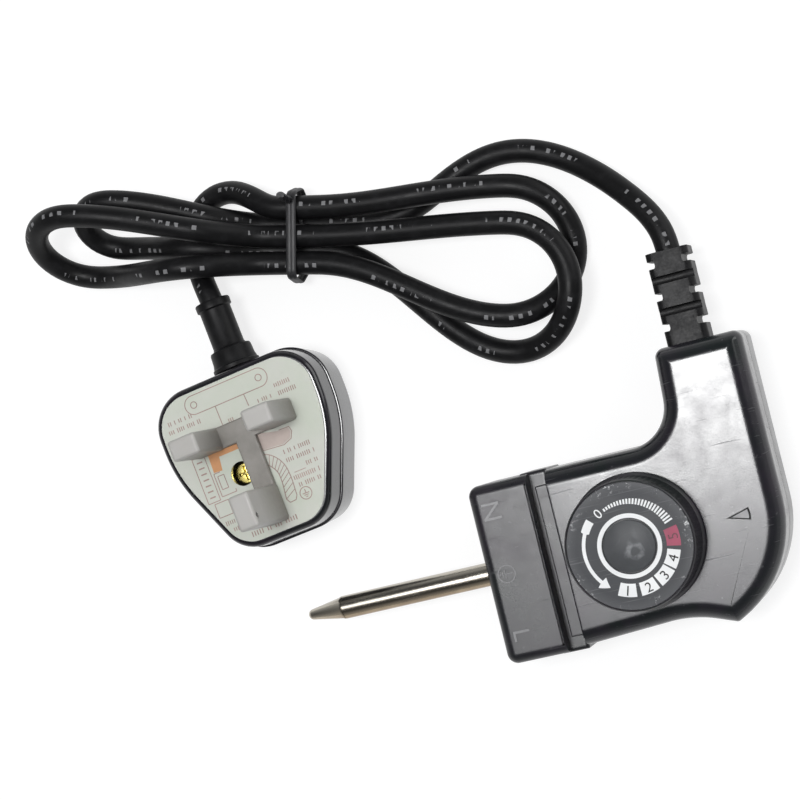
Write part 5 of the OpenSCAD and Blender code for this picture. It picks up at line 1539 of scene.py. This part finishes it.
def dashes(skin, row, tall, half, pitch, random, level):
    """Row of short dashes of uneven height in place of print, with a wider gap now and then."""
    u, v, end = row
    way = 1 if end > v else -1
    while (end - v) * way > pitch:
        reach = tall * random.uniform(0.75, 1.0) / 2
        skin.strip([(u - reach, v), (u + reach, v)], half, *level)
        v += way * pitch * (1 if random.random() < 0.8 else 2.1)


class HEAT_OT_card(bpy.types.Operator):
    """Card on the plug's pin face, with its wiring diagram"""

    bl_idname = "heat.card"
    bl_label = "Card"

    def execute(self, context):
        card = Skin(at_plug).slab(
            moved_in(PLUG_CORNERS, 2.5), FACE - CARD_DEEP, FACE, 0.01, 0.08, FINE
        )
        mesh = joined("face_card", card, ("DIFFERENCE", face_cuts()))
        piece("face_card", mesh, "card", "housing", "card", "plug_card")

        level, half = (FACE - PRINT, FACE + PRINT), sizes().line / MM / 2
        ink = Skin(at_plug)
        for v, middle in CLAMP_PLACES:
            ink.arc((CLAMP_X, v), CLAMP_R, half, middle - 90, middle + 90, *level, 24)
            ink.arc((CLAMP_X, v), CLAMP_HOLE, half, 0, 360, *level, 24)
        for points in CLOSED_LINES:
            ink.trace(points, half, *level, closed=True)
        outer, inner = through(WIRE_OUTER, 6)[:, :2], through(WIRE_INNER, 6)[:, :2]
        tip = [outer[-1], *WIRE_TIP, inner[-1]]
        for points in OPEN_LINES + [outer, inner, tip]:
            ink.trace(points, half, *level)
        for k in range(2, len(outer) - 2, 2):
            ink.trace([outer[k], inner[min(k + 2, len(inner) - 1)]], half * 0.8, *level)
        u, v, r = EARTH
        ink.arc((u, v), r, half, 0, 360, *level, 32)
        ink.trace([(u + 1.1, v), (u, v)], half, *level)
        for shift, reach in EARTH_BARS:
            ink.trace([(u + shift, v - reach), (u + shift, v + reach)], half, *level)
        ink.trace(ARROW, half * 0.8, *level)
        piece("card_lines", ink, "card_ink", "housing", "card")

        random = np.random.default_rng(CARD_SEED)
        words = Skin(at_plug)
        for row in ROWS:
            dashes(words, row, 1.35, 0.13, 0.62, random, level)
        dashes(words, LONG_ROW, 1.5, 0.15, 0.78, random, level)
        for u in np.arange(-4.0, -15.2, -1.7):
            words.strip([(u, 14.7), (u, 16.4)], 0.2, *level)
        piece("card_rows", words, "card_ink", "housing", "card")
        hatching = Skin(at_plug).plate(HATCHING, FACE - PRINT, FACE + PRINT / 2)
        piece("card_hatching", hatching, "card_hatch", "housing", "card")
        piece("card_patch", Skin(at_plug).plate(PATCH, *level), "card_patch", "housing", "card")
        return {"FINISHED"}


class HEAT_OT_declare_cord(bpy.types.Operator):
    """Works out the cord's path and lists the plug's pieces and nodes; nothing is done with them"""

    bl_idname = "heat.declare_cord"
    bl_label = "Cord facts"

    def execute(self, context):
        path = cord_path(sizes().cord_spacing / MM)
        names = ["plug_front", "plug_back", "sleeve", "closing_screw", "pin_guard_cover"]
        names += ["face_card", "card_lines", "card_rows", "card_hatching", "card_patch"]
        nodes = ["live_pin", "neutral_pin", "earth_pin", "fuse", "fuse_clips", "cord_grip"]
        nodes += ["grip_screws"]
        return {"FINISHED"}


OPERATORS = (
    HEAT_OT_stage, HEAT_OT_finishes, HEAT_OT_cord, HEAT_OT_housing, HEAT_OT_connector,
    HEAT_OT_dial, HEAT_OT_relief, HEAT_OT_plug, HEAT_OT_card, HEAT_OT_declare_cord,
)


class HEAT_PT_panel(bpy.types.Panel):
    """Sizes, colours and pieces of the heat control"""

    bl_idname = "HEAT_PT_panel"
    bl_label = "Heat control"
    bl_space_type = "VIEW_3D"
    bl_region_type = "UI"
    bl_category = "Heat control"

    def draw(self, context):
        for group in (context.scene.heat_control_sizes, context.scene.heat_control_colours):
            for key in group.__annotations__:
                self.layout.prop(group, key)
        for operator in OPERATORS:
            self.layout.operator(operator.bl_idname)


CLASSES = (HeatControlSizes, HeatControlColours, *OPERATORS, HEAT_PT_panel)


def register():
    for made in CLASSES:
        bpy.utils.register_class(made)
    bpy.types.Scene.heat_control_sizes = PointerProperty(type=HeatControlSizes)
    bpy.types.Scene.heat_control_colours = PointerProperty(type=HeatControlColours)


def unregister():
    del bpy.types.Scene.heat_control_colours
    del bpy.types.Scene.heat_control_sizes
    for made in reversed(CLASSES):
        bpy.utils.unregister_class(made)


def main():
    """Makes the pieces in order."""
    register()
    for operator in OPERATORS:
        getattr(bpy.ops.heat, operator.bl_idname.split(".")[1])()


if __name__ == "__main__":
    main()
